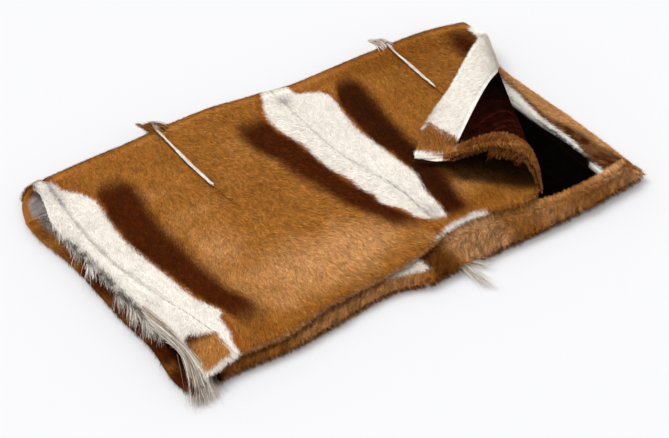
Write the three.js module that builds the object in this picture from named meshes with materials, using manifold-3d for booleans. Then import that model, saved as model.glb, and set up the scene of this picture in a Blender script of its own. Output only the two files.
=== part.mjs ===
import * as THREE from "three";
import Module from "manifold-3d";

// A kaross of short-haired antelope skins, folded in half with its fur outside and its lining inside.
// Lengths are millimetres. X runs along the fold, Y from the open front to the fold, and Z is up.
// The cloth lies on its hair at Z = 0, and its top layer has one corner turned back.

// Thicknesses, measured from the middle of the leather
const PILE = 8;
const LEATHER = 1;
const HEM_TOP = 9;
const HEM_BOTTOM = 12;
const LINING_NEAR = 2.3;
const LINING_FAR = 3.7;

// Heights of the middle of the leather in the two layers
const REST = PILE;
const TOP_HEIGHT = 33;
const FRONT_SINK = 3;
const FOLD_RADIUS = (TOP_HEIGHT - REST) / 2;
const FOLD_ARC = Math.PI * FOLD_RADIUS;

// Widths across the cloth
const HEM_WIDTH = 60;
const LEFT_HEM_WIDTH = 62;
const RIGHT_HEM_WIDTH = 73;
const HEM_ROLL = 6;
const LINING_INSET = 2.2;
const BOTTOM_INSET = 5;
const EDGE_ROUNDING = 9;
const SEAM_ROUNDING = 3;
const SEAM_GAP = 0.4;
const UNDER_SEAM_Y = 250;
const BOTTOM_SEAM_X = 5;

// Front edge of the top layer, laid flat
const TOP_FRONT = [
  { x: -520, y: -318 },
  { x: -467, y: -316 },
  { x: -403, y: -301 },
  { x: -300, y: -304 },
  { x: -207, y: -284 },
  { x: -132, y: -278 },
  { x: -50, y: -272 },
  { x: 40, y: -256 },
  { x: 95, y: -237 },
  { x: 169, y: -229 },
  { x: 231, y: -240 },
  { x: 300, y: -248 },
  { x: 400, y: -232 },
  { x: 500, y: -228 },
  { x: 624, y: -253 },
  { x: 700, y: -262 },
];

// Left edge of the top layer, on round the fold
const TOP_LEFT = [
  { y: -330, x: -472 },
  { y: -236, x: -476 },
  { y: -145, x: -491 },
  { y: -29, x: -509 },
  { y: 113, x: -522 },
  { y: 204, x: -528 },
  { y: 304, x: -514 },
  { y: 346, x: -549 },
  { y: 400, x: -566 },
];

// Right edge of the top layer, on round the fold
const TOP_RIGHT = [
  { y: -300, x: 628 },
  { y: -200, x: 619 },
  { y: 100, x: 575 },
  { y: 200, x: 560 },
  { y: 304, x: 556 },
  { y: 344, x: 552 },
  { y: 404, x: 545 },
];

// Seam between the left strip and the middle skin
const LEFT_SEAM = [
  { y: -330, x: -402 },
  { y: -245, x: -408 },
  { y: -180, x: -423 },
  { y: -110, x: -446 },
  { y: -63, x: -461 },
  { y: 25, x: -482 },
  { y: 75, x: -488 },
  { y: 160, x: -493 },
  { y: 258, x: -493 },
  { y: 404, x: -492 },
];

// Seam between the middle skin and the right skin
const MIDDLE_SEAM = [
  { y: -330, x: 106 },
  { y: -200, x: 99 },
  { y: -110, x: 97 },
  { y: -62, x: 91 },
  { y: -12, x: 78 },
  { y: 56, x: 60 },
  { y: 110, x: 53 },
  { y: 200, x: 48 },
  { y: 300, x: 46 },
  { y: 404, x: 42 },
];

// Line where the top layer starts to turn down into the fold
const FOLD_LINE = [
  { x: -560, y: 305 },
  { x: -505, y: 311 },
  { x: -454, y: 318 },
  { x: -315, y: 326 },
  { x: -120, y: 339 },
  { x: 28, y: 325 },
  { x: 101, y: 316 },
  { x: 234, y: 322 },
  { x: 369, y: 325 },
  { x: 458, y: 325 },
  { x: 560, y: 306 },
];

// Edges of the bottom layer
const BOTTOM_FRONT = [
  { x: -560, y: -320 },
  { x: -500, y: -321 },
  { x: -415, y: -312 },
  { x: -306, y: -317 },
  { x: -231, y: -312 },
  { x: -105, y: -297 },
  { x: -44, y: -298 },
  { x: 4, y: -314 },
  { x: 60, y: -311 },
  { x: 178, y: -310 },
  { x: 328, y: -311 },
  { x: 438, y: -309 },
  { x: 526, y: -300 },
  { x: 570, y: -292 },
];
const BOTTOM_LEFT = [
  { y: -330, x: -500 },
  { y: -278, x: -517 },
  { y: -182, x: -514 },
  { y: -89, x: -526 },
  { y: 60, x: -537 },
  { y: 129, x: -547 },
  { y: 202, x: -563 },
  { y: 254, x: -566 },
];
const BOTTOM_RIGHT = [
  { y: -330, x: 560 },
  { y: -281, x: 559 },
  { y: -164, x: 558 },
  { y: -44, x: 551 },
  { y: 79, x: 540 },
  { y: 126, x: 537 },
  { y: 250, x: 545 },
];

// Width of the turned hem along the front of the top layer
const TOP_HEM = [
  { x: -520, width: 60 },
  { x: 250, width: 60 },
  { x: 330, width: 46 },
  { x: 420, width: 34 },
  { x: 465, width: 29 },
  { x: 500, width: 19 },
  { x: 535, width: 15 },
  { x: 640, width: 15 },
];

// Width of the turned hem at the right end of the bottom layer
const BOTTOM_RIGHT_HEM = [
  { y: -330, width: 74 },
  { y: -160, width: 74 },
  { y: -44, width: 68 },
  { y: 79, width: 63 },
  { y: 250, width: 60 },
];

// Width of the turned hem along the front of the bottom layer
const BOTTOM_HEM = [
  { x: -500, width: 62 },
  { x: 60, width: 70 },
  { x: 166, width: 72 },
  { x: 237, width: 68 },
  { x: 300, width: 52 },
  { x: 362, width: 38 },
  { x: 560, width: 36 },
];

// Soft swells and hollows of the top layer
const SWELLS = [
  { x: -250, y: -40, along: 150, across: 130, height: 2.5 },
  { x: 70, y: 60, along: 60, across: 200, height: -3 },
  { x: 260, y: 160, along: 90, across: 120, height: 2 },
  { x: -420, y: 120, along: 50, across: 120, height: -1.5 },
];

// Corner turned back: the crease runs from the right edge to the front edge, and its loop grows
const CREASE_START = new THREE.Vector2(557, 255);
const CREASE_END = new THREE.Vector2(336, -224);
const LOOP_AT_START = { under: 14, underRise: 14, over: 14, overRise: 14 };
const LOOP_AT_END = { under: 34, underRise: 16, over: 62, overRise: 62 };
const FLAP_REACH = { start: 50, growth: 120 };
const FLAP_HEIGHT = 19;
const FLAP_SLOPE = 0.98;

// Bottom corner that lifts off the ground
const LIFT = { height: 6, from: 180, over: 330 };

// Long hair locks: the root sits on the hide, the hair passes the middle point and ends at the tip
const LOCKS = [
  {
    name: "lock_front_left",
    root: [-462, -222, 42.3],
    middle: [-474, -352, 60],
    tip: [-488, -363, 1.6],
    spread: [30, 14, 0],
    pad: [14, 22, 3.4],
    strands: 11,
  },
  {
    name: "lock_front",
    root: [96, -315.9, 9],
    middle: [99, -350, 22],
    tip: [103, -388, 1.6],
    spread: [17, 6, 0],
    pad: [13, 5, 6],
    strands: 9,
  },
  {
    name: "lock_back_left",
    root: [-249, 346, 39.5],
    middle: [-254, 358, 50],
    tip: [-262, 374, 55],
    spread: [9, 4, 4],
    pad: [12, 4, 3],
    strands: 7,
  },
  {
    name: "lock_back_right",
    root: [343, 339.5, 39.2],
    middle: [335, 353, 50],
    tip: [322, 364, 55],
    spread: [9, 4, 4],
    pad: [12, 4, 3],
    strands: 7,
  },
];
const STRAND_RADIUS = 1.15;
const STRAND_STEPS = 4;

// Grid lines of the hides
const EDGE_LINES = [0, 2, 7, 15, 32];
const TOP_SHARES = 10;
const FOLD_STEPS = 6;
const MIDDLE_SHARES = 8;
const RIGHT_LINES = [81, 91, 103, 116, 130, 145, 161, 178, 196, 215, 236, 259, 285, 320];
const RIGHT_SHARES = 3;
const BOTTOM_SHARES = 5;
const BOTTOM_COLUMN_SHARES = 5;
const STEP = 0.5;

const FUR = "#a8733c";
const WHITE_FUR = "#e9e3d6";
const CLOTH = "#24120d";

// Smooth curve through the rows of a table
function curve(rows, key, value) {
  const last = rows.length - 1;
  const slope = rows.map((row, i) => {
    const before = rows[Math.max(i - 1, 0)];
    const after = rows[Math.min(i + 1, last)];
    return (after[value] - before[value]) / (after[key] - before[key]);
  });
  return (position) => {
    const at = THREE.MathUtils.clamp(position, rows[0][key], rows[last][key]);
    let i = 0;
    while (i < last - 1 && at > rows[i + 1][key]) i += 1;
    const span = rows[i + 1][key] - rows[i][key];
    const s = (at - rows[i][key]) / span;
    const fromStart = rows[i][value] * (1 + 2 * s) * (1 - s) ** 2 + span * slope[i] * s * (1 - s) ** 2;
    const fromEnd = rows[i + 1][value] * s * s * (3 - 2 * s) - span * slope[i + 1] * s * s * (1 - s);
    return fromStart + fromEnd;
  };
}

const topFront = curve(TOP_FRONT, "x", "y");
const topLeft = curve(TOP_LEFT, "y", "x");
const topRight = curve(TOP_RIGHT, "y", "x");
const leftSeam = curve(LEFT_SEAM, "y", "x");
const middleSeam = curve(MIDDLE_SEAM, "y", "x");
const foldLine = curve(FOLD_LINE, "x", "y");
const bottomFront = curve(BOTTOM_FRONT, "x", "y");
const bottomLeft = curve(BOTTOM_LEFT, "y", "x");
const bottomRight = curve(BOTTOM_RIGHT, "y", "x");
const topHem = curve(TOP_HEM, "x", "width");
const bottomHem = curve(BOTTOM_HEM, "x", "width");
const rightHem = curve(BOTTOM_RIGHT_HEM, "y", "width");
const { clamp, lerp, smoothstep } = THREE.MathUtils;

// Seam under the fold, where the top layer's skins end
function topBack(x) {
  return 2 * foldLine(x) + FOLD_ARC - UNDER_SEAM_Y;
}

function bell(distance, width) {
  return Math.exp(-((distance / width) ** 2));
}

// Height of the top layer before its corner is turned back
function topHeight(x, y) {
  const nearEdge = Math.max(bell(y - topFront(x), 38), bell(x - topLeft(y), 40));
  let height = TOP_HEIGHT - FRONT_SINK * nearEdge;
  for (const swell of SWELLS) {
    const size = bell(x - swell.x, swell.along) * bell(y - swell.y, swell.across);
    height += swell.height * size * (1 - nearEdge);
  }
  return lerp(height, TOP_HEIGHT, smoothstep(y, foldLine(x) - 60, foldLine(x)));
}

const creaseLength = CREASE_START.distanceTo(CREASE_END);
const creaseAlong = CREASE_END.clone().sub(CREASE_START).normalize();
const creaseOut = new THREE.Vector2(-creaseAlong.y, creaseAlong.x);

function loopSize(along) {
  const share = clamp(along / creaseLength, 0, 1.1);
  const mix = (name) => lerp(LOOP_AT_START[name], LOOP_AT_END[name], share);
  return { under: mix("under"), underRise: mix("underRise"), over: mix("over"), overRise: mix("overRise") };
}

// Section of the loop: out under the bend, up round it, and down along the flap
function loopSection(travel, loop, along) {
  const underArc = (Math.PI / 2) * Math.sqrt((loop.under ** 2 + loop.underRise ** 2) / 2);
  const overArc = (Math.PI / 2) * Math.sqrt((loop.over ** 2 + loop.overRise ** 2) / 2);
  const underTurn = (clamp(travel / underArc, 0, 1) * Math.PI) / 2;
  if (travel < underArc) {
    return { out: loop.under * (Math.sin(underTurn) - 1), up: loop.underRise * (1 - Math.cos(underTurn)) };
  }
  const overTurn = (clamp((travel - underArc) / overArc, 0, 1) * Math.PI) / 2;
  const crown = loop.underRise + loop.overRise;
  const back = Math.max(travel - underArc - overArc, 0);
  const reach = FLAP_REACH.start + (FLAP_REACH.growth * along) / creaseLength;
  const fall = (crown - FLAP_HEIGHT) * smoothstep(back, 0, reach);
  return {
    out: loop.over * (Math.cos(overTurn) - 1) - back * FLAP_SLOPE,
    up: loop.underRise + loop.overRise * Math.sin(overTurn) - fall,
  };
}

// Middle of the top layer's leather, for a point of it laid flat
function layTop(x, y) {
  const past = y - foldLine(x);
  if (past > 0) {
    const turn = Math.min(past / FOLD_RADIUS, Math.PI);
    const under = Math.max(past - FOLD_ARC, 0);
    const lengthwise = foldLine(x) + FOLD_RADIUS * Math.sin(turn) - under;
    return new THREE.Vector3(x, lengthwise, REST + FOLD_RADIUS * (1 + Math.cos(turn)));
  }
  const fromStart = new THREE.Vector2(x, y).sub(CREASE_START);
  const along = fromStart.dot(creaseAlong);
  const loop = loopSize(along);
  const travel = fromStart.dot(creaseOut) + loop.under;
  if (travel <= 0) return new THREE.Vector3(x, y, topHeight(x, y));
  const section = loopSection(travel, loop, along);
  const plan = CREASE_START.clone().addScaledVector(creaseAlong, along).addScaledVector(creaseOut, section.out);
  return new THREE.Vector3(plan.x, plan.y, topHeight(plan.x, plan.y) + section.up);
}

// Middle of the bottom layer's leather
function layBottom(x, y) {
  const width = bottomHem(x);
  const rise = smoothstep(x, LIFT.from, LIFT.from + LIFT.over) * (1 - smoothstep(y - bottomFront(x), 0, width));
  return new THREE.Vector3(x, y, REST + LIFT.height * rise);
}

// Point set off from the leather, outward to the fur side for a positive distance
function setOff(lay, x, y, distance, forward) {
  const alongX = lay(x + STEP, y).sub(lay(x - STEP, y));
  const alongY = lay(x, y + STEP).sub(lay(x, y - STEP)).multiplyScalar(forward);
  return lay(x, y).addScaledVector(alongX.cross(alongY).normalize(), distance);
}

// Share of the full thickness at a distance inside an edge, rounded like a roll
function roundness(distance, width) {
  const share = clamp(distance / width, 0, 1);
  return Math.sqrt(1 - (1 - share) ** 2);
}

// Depth of the inner side: bare leather, or leather and the fur of a turned hem
function innerDepth(insideHem, hem) {
  const roll = Math.sin((clamp(insideHem / HEM_ROLL, 0, 1) * Math.PI) / 2);
  return lerp(LEATHER, hem, roll);
}

// Closed body between an outer and an inner grid that share their border
function closedBody(grid) {
  const rows = grid.length;
  const columns = grid[0].length;
  const points = [];
  const index = (side) =>
    grid.map((line, r) =>
      line.map((station, c) => {
        const border = r === 0 || c === 0 || r === rows - 1 || c === columns - 1;
        if (border && side === "inner") return null;
        points.push(...station[side].toArray());
        return points.length / 3 - 1;
      }),
    );
  const outer = index("outer");
  const inner = index("inner").map((line, r) => line.map((id, c) => id ?? outer[r][c]));
  const faces = [];
  for (let r = 0; r < rows - 1; r += 1) {
    for (let c = 0; c < columns - 1; c += 1) {
      const crossed = (r === 0 && c === columns - 2) || (r === rows - 2 && c === 0);
      for (const [side, turned] of [[outer, false], [inner, true]]) {
        const [a, b, d, e] = [side[r][c], side[r][c + 1], side[r + 1][c + 1], side[r + 1][c]];
        const pair = crossed ? [[a, b, e], [b, d, e]] : [[a, b, d], [a, d, e]];
        for (const face of pair) faces.push(...(turned ? face.reverse() : face));
      }
    }
  }
  return bodyGeometry(points, faces);
}

function bodyGeometry(points, faces) {
  const geometry = new THREE.BufferGeometry();
  geometry.setAttribute("position", new THREE.Float32BufferAttribute(points, 3));
  geometry.setIndex(faces);
  geometry.computeVertexNormals();
  return geometry;
}

// Grid lines as distances from an edge across a hem of some width
function hemLines(width) {
  return [...EDGE_LINES, width - HEM_ROLL, width - 2, width, width + LINING_INSET];
}

// Lines across the top layer, from its front edge round the fold: each gives Y for an X
function topRows() {
  const start = (x) => topHem(x) + LINING_INSET;
  const rows = hemLines(HEM_WIDTH)
    .slice(0, -1)
    .map((distance) => (x) => topFront(x) + (distance * topHem(x)) / HEM_WIDTH);
  rows.push((x) => topFront(x) + start(x));
  for (let i = 1; i < TOP_SHARES; i += 1) {
    rows.push((x) => lerp(topFront(x) + start(x), foldLine(x), i / TOP_SHARES));
  }
  for (let i = 0; i <= FOLD_STEPS; i += 1) rows.push((x) => foldLine(x) + (FOLD_ARC * i) / FOLD_STEPS);
  rows.push((x) => lerp(foldLine(x) + FOLD_ARC, topBack(x), 0.5));
  for (const distance of [SEAM_ROUNDING, 0]) rows.push((x) => topBack(x) - distance);
  return rows;
}

// Lines across the bottom layer, from its seam behind to its front edge
function bottomRows() {
  const behind = () => UNDER_SEAM_Y - SEAM_GAP;
  const inside = (x) => bottomFront(x) + bottomHem(x) + LINING_INSET;
  const rows = [behind, () => behind() - SEAM_ROUNDING];
  for (let i = 1; i < BOTTOM_SHARES; i += 1) rows.push((x) => lerp(behind(), inside(x), i / BOTTOM_SHARES));
  const share = (x) => bottomHem(x) / HEM_WIDTH;
  const offsets = hemLines(HEM_WIDTH).reverse();
  for (const distance of offsets) rows.push((x) => bottomFront(x) + distance * share(x));
  return rows;
}

// Stations of a panel, one for each crossing of a row and a column
function stations(panel) {
  const middle = (panel.left(0) + panel.right(0)) / 2;
  return panel.rows.map((row) =>
    panel.columns.map((column) => {
      let x = column(row(middle));
      x = column(row(x));
      const y = row(x);
      return station(panel, column(y), y);
    }),
  );
}

function station(panel, x, y) {
  const edges = [
    { distance: x - panel.left(y), rounding: panel.leftRounding },
    { distance: panel.right(y) - x, rounding: panel.rightRounding },
    { distance: y - panel.front(x), rounding: EDGE_ROUNDING },
    { distance: panel.back(x) - y, rounding: SEAM_ROUNDING },
  ];
  const full = edges.reduce((product, edge) => product * roundness(edge.distance, edge.rounding), 1);
  const outer = panel.pile(x, y);
  const inner = -panel.depth(x, y);
  const border = (outer + inner) / 2;
  return {
    outer: setOff(panel.lay, x, y, lerp(border, outer, full), panel.forward),
    inner: setOff(panel.lay, x, y, lerp(border, inner, full), panel.forward),
  };
}

// Fur of the top layer, pressed thinner where the turned corner bends
function topPile(x, y) {
  const fromStart = new THREE.Vector2(x, y).sub(CREASE_START);
  const along = fromStart.dot(creaseAlong);
  const loop = loopSize(along);
  const travel = fromStart.dot(creaseOut) + loop.under;
  const arc = (Math.PI / 2) * (loop.under + loop.over);
  const inBend = smoothstep(travel, -loop.under, loop.under / 2) * (1 - smoothstep(travel, arc * 0.7, arc * 1.2));
  const tight = 0.5 * Math.min(loop.underRise, loop.under);
  return lerp(PILE, Math.min(PILE, tight), y > foldLine(x) ? 0 : inBend);
}

function intoTopHem(x, y) {
  return HEM_WIDTH - ((y - topFront(x)) * HEM_WIDTH) / topHem(x);
}

function topPanel(shape) {
  return {
    lay: layTop,
    forward: 1,
    rows: topRows(),
    front: topFront,
    back: topBack,
    leftRounding: SEAM_ROUNDING,
    rightRounding: SEAM_ROUNDING,
    pile: topPile,
    depth: (x, y) => innerDepth(intoTopHem(x, y), HEM_TOP),
    ...shape,
  };
}

function bottomPanel(shape) {
  return {
    lay: layBottom,
    forward: -1,
    rows: bottomRows(),
    front: bottomFront,
    back: () => UNDER_SEAM_Y - SEAM_GAP,
    leftRounding: SEAM_ROUNDING,
    rightRounding: SEAM_ROUNDING,
    pile: () => PILE,
    ...shape,
  };
}

function sharedColumns(from, to, count) {
  return Array.from({ length: count - 1 }, (_, i) => (y) => lerp(from(y), to(y), (i + 1) / count));
}

function offsetColumns(edge, distances) {
  return distances.map((distance) => (y) => edge(y) + distance);
}

const middleLeft = (y) => leftSeam(y) + SEAM_GAP / 2;
const middleRight = (y) => middleSeam(y) - SEAM_GAP / 2;
const rightLeft = (y) => middleSeam(y) + SEAM_GAP / 2;

// Lining columns under the middle and right skins of the top layer
const middleColumns = [
  ...offsetColumns(middleLeft, [SEAM_ROUNDING * 2]),
  ...sharedColumns(middleLeft, middleRight, MIDDLE_SHARES),
  ...offsetColumns(middleRight, [-SEAM_ROUNDING]),
];
const flapColumns = [
  ...offsetColumns(rightLeft, [SEAM_ROUNDING]),
  ...sharedColumns(rightLeft, (y) => topRight(y) - RIGHT_LINES.at(-1), RIGHT_SHARES),
  ...offsetColumns(topRight, RIGHT_LINES.map((distance) => -distance).reverse()),
  ...offsetColumns(topRight, [-RIGHT_HEM_WIDTH - LINING_INSET]),
];

function leftStrip() {
  const right = (y) => leftSeam(y) - SEAM_GAP / 2;
  return closedBody(
    stations(
      topPanel({
        left: topLeft,
        right,
        leftRounding: EDGE_ROUNDING,
        depth: () => HEM_TOP,
        columns: [
          ...offsetColumns(topLeft, EDGE_LINES.slice(0, -1)),
          ...offsetColumns(right, [-SEAM_ROUNDING, 0]),
        ],
      }),
    ),
  );
}

function middleSkin() {
  return closedBody(
    stations(
      topPanel({
        left: middleLeft,
        right: middleRight,
        columns: [
          ...offsetColumns(middleLeft, [0, SEAM_ROUNDING]),
          ...middleColumns,
          ...offsetColumns(middleRight, [0]),
        ],
      }),
    ),
  );
}

function rightSkin() {
  const nearRight = (x, y) => x - topRight(y) + RIGHT_HEM_WIDTH;
  const hemColumns = hemLines(RIGHT_HEM_WIDTH).slice(0, -1).reverse();
  return closedBody(
    stations(
      topPanel({
        left: rightLeft,
        right: topRight,
        rightRounding: EDGE_ROUNDING,
        depth: (x, y) => innerDepth(Math.max(intoTopHem(x, y), nearRight(x, y)), HEM_TOP),
        columns: [
          ...offsetColumns(rightLeft, [0]),
          ...flapColumns,
          ...offsetColumns(topRight, hemColumns.map((distance) => -distance)),
        ],
      }),
    ),
  );
}

const bottomInside = (x) => bottomFront(x) + bottomHem(x);
const bottomJoint = { left: BOTTOM_SEAM_X - SEAM_GAP / 2, right: BOTTOM_SEAM_X + SEAM_GAP / 2 };

function bottomHemRoll(x, y) {
  return ((bottomInside(x) - y) * HEM_WIDTH) / bottomHem(x);
}

function bottomLeftSkin() {
  const right = () => bottomJoint.left;
  const inside = (y) => bottomLeft(y) + LEFT_HEM_WIDTH + LINING_INSET;
  const inHem = (x, y) => Math.max(bottomHemRoll(x, y), bottomLeft(y) + LEFT_HEM_WIDTH - x);
  return closedBody(
    stations(
      bottomPanel({
        left: bottomLeft,
        right,
        leftRounding: EDGE_ROUNDING,
        depth: (x, y) => innerDepth(inHem(x, y), HEM_BOTTOM),
        columns: [
          ...offsetColumns(bottomLeft, hemLines(LEFT_HEM_WIDTH)),
          ...sharedColumns(inside, right, BOTTOM_COLUMN_SHARES),
          ...offsetColumns(right, [-SEAM_ROUNDING, 0]),
        ],
      }),
    ),
  );
}

function bottomRightSkin() {
  const left = () => bottomJoint.right;
  const inside = (y) => bottomRight(y) - rightHem(y) - LINING_INSET;
  const intoHem = (x, y) => HEM_WIDTH - ((bottomRight(y) - x) * HEM_WIDTH) / rightHem(y);
  const inHem = (x, y) => Math.max(bottomHemRoll(x, y), intoHem(x, y));
  const hemColumns = hemLines(HEM_WIDTH).reverse();
  return closedBody(
    stations(
      bottomPanel({
        left,
        right: bottomRight,
        rightRounding: EDGE_ROUNDING,
        depth: (x, y) => innerDepth(inHem(x, y), HEM_BOTTOM),
        columns: [
          ...offsetColumns(left, [0, SEAM_ROUNDING]),
          ...sharedColumns(left, inside, BOTTOM_COLUMN_SHARES),
          ...hemColumns.map((distance) => (y) => bottomRight(y) - (distance * rightHem(y)) / HEM_WIDTH),
        ],
      }),
    ),
  );
}

// One lining cloth: in from the top hem, round the inside of the fold, and out to the bottom hem
function lining() {
  const columns = [...middleColumns, ...flapColumns];
  const topLines = topRows().slice(hemLines(HEM_WIDTH).length - 1, -1);
  const bottomLines = bottomRows().slice(2, -hemLines(HEM_WIDTH).length);
  bottomLines.push((x) => bottomInside(x) + BOTTOM_INSET);
  const left = (y) => bottomLeft(y) + LEFT_HEM_WIDTH + BOTTOM_INSET;
  const right = (y) => bottomRight(y) - rightHem(y) - BOTTOM_INSET;
  const foldY = FOLD_LINE.at(-1).y;
  const start = columns[0](foldY);
  const span = columns.at(-1)(foldY) - start;
  const bottomColumns = columns.map((column) => {
    const share = (column(foldY) - start) / span;
    return (y) => lerp(left(y), right(y), share);
  });
  const sheet = (lay, forward) => (x, y) => ({
    outer: setOff(lay, x, y, -LINING_NEAR, forward),
    inner: setOff(lay, x, y, -LINING_FAR, forward),
  });
  const place = (rows, lines, at) =>
    rows.map((row) =>
      lines.map((line) => {
        let x = line(row(0));
        x = line(row(x));
        const y = row(x);
        return at(line(y), y);
      }),
    );
  const grid = [
    ...place(topLines, columns, sheet(layTop, 1)),
    ...place(bottomLines, bottomColumns, sheet(layBottom, -1)),
  ];
  return closedBody(hemmed(grid));
}

// Border of a thin sheet, drawn together to the middle of its thickness
function hemmed(grid) {
  const lastRow = grid.length - 1;
  const lastColumn = grid[0].length - 1;
  return grid.map((line, r) =>
    line.map((station, c) => {
      if (r > 0 && c > 0 && r < lastRow && c < lastColumn) return station;
      const middle = station.outer.clone().add(station.inner).multiplyScalar(0.5);
      return { outer: middle, inner: middle };
    }),
  );
}

const wasm = await Module();
wasm.setup();

function asSolid(points, faces) {
  const mesh = { numProp: 3, vertProperties: new Float32Array(points), triVerts: new Uint32Array(faces) };
  return new wasm.Manifold(new wasm.Mesh(mesh));
}

// One tapering lock of three sides
function strand(start, middle, tip) {
  const path = new THREE.QuadraticBezierCurve3(start, middle, tip);
  const points = [];
  for (let i = 0; i < STRAND_STEPS; i += 1) {
    const share = i / STRAND_STEPS;
    const centre = path.getPoint(share);
    const ahead = path.getTangent(share);
    const side = new THREE.Vector3().crossVectors(ahead, new THREE.Vector3(0.1, 0.2, 1)).normalize();
    const rise = new THREE.Vector3().crossVectors(side, ahead).normalize();
    const radius = STRAND_RADIUS * (1 - 0.6 * share);
    for (let corner = 0; corner < 3; corner += 1) {
      const turn = (corner * 2 * Math.PI) / 3 + Math.PI / 2;
      const spoke = centre.clone();
      spoke.addScaledVector(side, radius * Math.cos(turn)).addScaledVector(rise, radius * Math.sin(turn));
      points.push(...spoke.toArray());
    }
  }
  points.push(...tip.toArray());
  const faces = [0, 1, 2];
  for (let i = 0; i < STRAND_STEPS; i += 1) {
    for (let corner = 0; corner < 3; corner += 1) {
      const next = (corner + 1) % 3;
      const [a, b] = [i * 3 + corner, i * 3 + next];
      if (i === STRAND_STEPS - 1) faces.push(b, a, STRAND_STEPS * 3);
      else faces.push(b, a, b + 3, b + 3, a, a + 3);
    }
  }
  return asSolid(points, faces);
}

// Root pad that holds a lock together
function rootPad(lock) {
  const ball = new THREE.SphereGeometry(1, 10, 6);
  const heights = ball.getAttribute("position");
  const points = [0, 0, 1];
  const rings = 5;
  const sides = 10;
  for (let ring = 1; ring <= rings; ring += 1) {
    for (let side = 0; side < sides; side += 1) {
      const at = ring * (sides + 1) + side;
      points.push(heights.getX(at), heights.getZ(at), heights.getY(at));
    }
  }
  points.push(0, 0, -1);
  const faces = [];
  const id = (ring, side) => 1 + (ring - 1) * sides + (side % sides);
  for (let side = 0; side < sides; side += 1) {
    faces.push(0, id(1, side + 1), id(1, side));
    for (let ring = 1; ring < rings; ring += 1) {
      faces.push(id(ring, side), id(ring + 1, side + 1), id(ring + 1, side));
      faces.push(id(ring, side), id(ring, side + 1), id(ring + 1, side + 1));
    }
    faces.push(1 + rings * sides, id(rings, side), id(rings, side + 1));
  }
  const placed = [];
  for (let i = 0; i < points.length; i += 3) {
    placed.push(...[0, 1, 2].map((axis) => points[i + axis] * lock.pad[axis] + lock.root[axis]));
  }
  return asSolid(placed, faces);
}

// A lock of long hair: strands that fan out from one root pad
function hairLock(lock) {
  let body = rootPad(lock);
  const root = new THREE.Vector3(...lock.root);
  for (let i = 0; i < lock.strands; i += 1) {
    const share = i / (lock.strands - 1) - 0.5;
    const wave = i % 2 === 0 ? 1 : -1;
    const fan = new THREE.Vector3(lock.spread[0] * share, lock.spread[1] * wave, lock.spread[2] * wave);
    const start = root.clone();
    start.x += lock.pad[0] * 1.8 * share;
    start.z += lock.pad[2] * 0.1 * wave;
    const middle = new THREE.Vector3(...lock.middle).addScaledVector(fan, 0.7);
    const tip = new THREE.Vector3(...lock.tip).addScaledVector(fan, 1.5);
    body = body.add(strand(start, middle, tip));
  }
  const mesh = body.getMesh();
  return bodyGeometry(Array.from(mesh.vertProperties), Array.from(mesh.triVerts));
}

function furMesh(name, geometry, color) {
  const mesh = new THREE.Mesh(geometry, new THREE.MeshStandardMaterial({ color, roughness: 0.85, metalness: 0 }));
  mesh.name = name;
  return mesh;
}

const kaross = new THREE.Group();
kaross.add(
  furMesh("skin_top_left", leftStrip(), WHITE_FUR),
  furMesh("skin_top_middle", middleSkin(), FUR),
  furMesh("skin_top_right", rightSkin(), FUR),
  furMesh("skin_bottom_left", bottomLeftSkin(), FUR),
  furMesh("skin_bottom_right", bottomRightSkin(), FUR),
  furMesh("lining", lining(), CLOTH),
  ...LOCKS.map((lock) => furMesh(lock.name, hairLock(lock), WHITE_FUR)),
);

// The origin is the middle of the footprint, on the ground
const bounds = new THREE.Box3().setFromObject(kaross);
const centre = bounds.getCenter(new THREE.Vector3());
kaross.position.set(-centre.x, -centre.y, -bounds.min.z);

export default kaross;
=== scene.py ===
"""Folded kaross of short-haired antelope skins: hides, fur, hair locks, lining, light and camera."""

import math

import bpy
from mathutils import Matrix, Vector
import numpy as np


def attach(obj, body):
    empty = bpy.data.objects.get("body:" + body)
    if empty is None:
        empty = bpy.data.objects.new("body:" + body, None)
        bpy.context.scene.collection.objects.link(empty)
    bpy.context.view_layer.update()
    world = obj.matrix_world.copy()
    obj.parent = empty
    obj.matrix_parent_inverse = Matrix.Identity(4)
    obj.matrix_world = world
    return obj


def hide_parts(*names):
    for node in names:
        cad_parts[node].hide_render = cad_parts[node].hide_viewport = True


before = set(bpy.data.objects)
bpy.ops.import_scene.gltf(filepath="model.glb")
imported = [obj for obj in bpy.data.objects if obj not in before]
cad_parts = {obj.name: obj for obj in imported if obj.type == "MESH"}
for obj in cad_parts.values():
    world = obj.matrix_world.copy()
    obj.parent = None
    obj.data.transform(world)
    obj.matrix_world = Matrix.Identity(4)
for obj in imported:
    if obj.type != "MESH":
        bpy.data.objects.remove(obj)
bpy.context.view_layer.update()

# Sizes are millimetres in the plan of the cloth: X along the fold, Y from the open front to the fold.
# The origin of the model is the middle of its footprint.
ORIGIN = np.array([3.2853, 8.5, 0.0])

PILE = 8.0
LEATHER = 1.0
HEM_TOP = 9.0
HEM_BOTTOM = 12.0
HAIR_DEPTH = 1.6
LINING_NEAR = 2.3
LINING_FAR = 3.7
REST = PILE
TOP_HEIGHT = 33.0
FRONT_SINK = 3.0
FOLD_RADIUS = (TOP_HEIGHT - REST) / 2
FOLD_ARC = math.pi * FOLD_RADIUS
HEM_WIDTH = 60.0
LEFT_HEM_WIDTH = 62.0
RIGHT_HEM_WIDTH = 73.0
HEM_ROLL = 6.0
LINING_INSET = 2.2
BOTTOM_INSET = 5.0
EDGE_ROUNDING = 9.0
SEAM_ROUNDING = 3.0
SEAM_GAP = 0.4
UNDER_SEAM_Y = 250.0
BOTTOM_SEAM_X = 5.0

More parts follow.
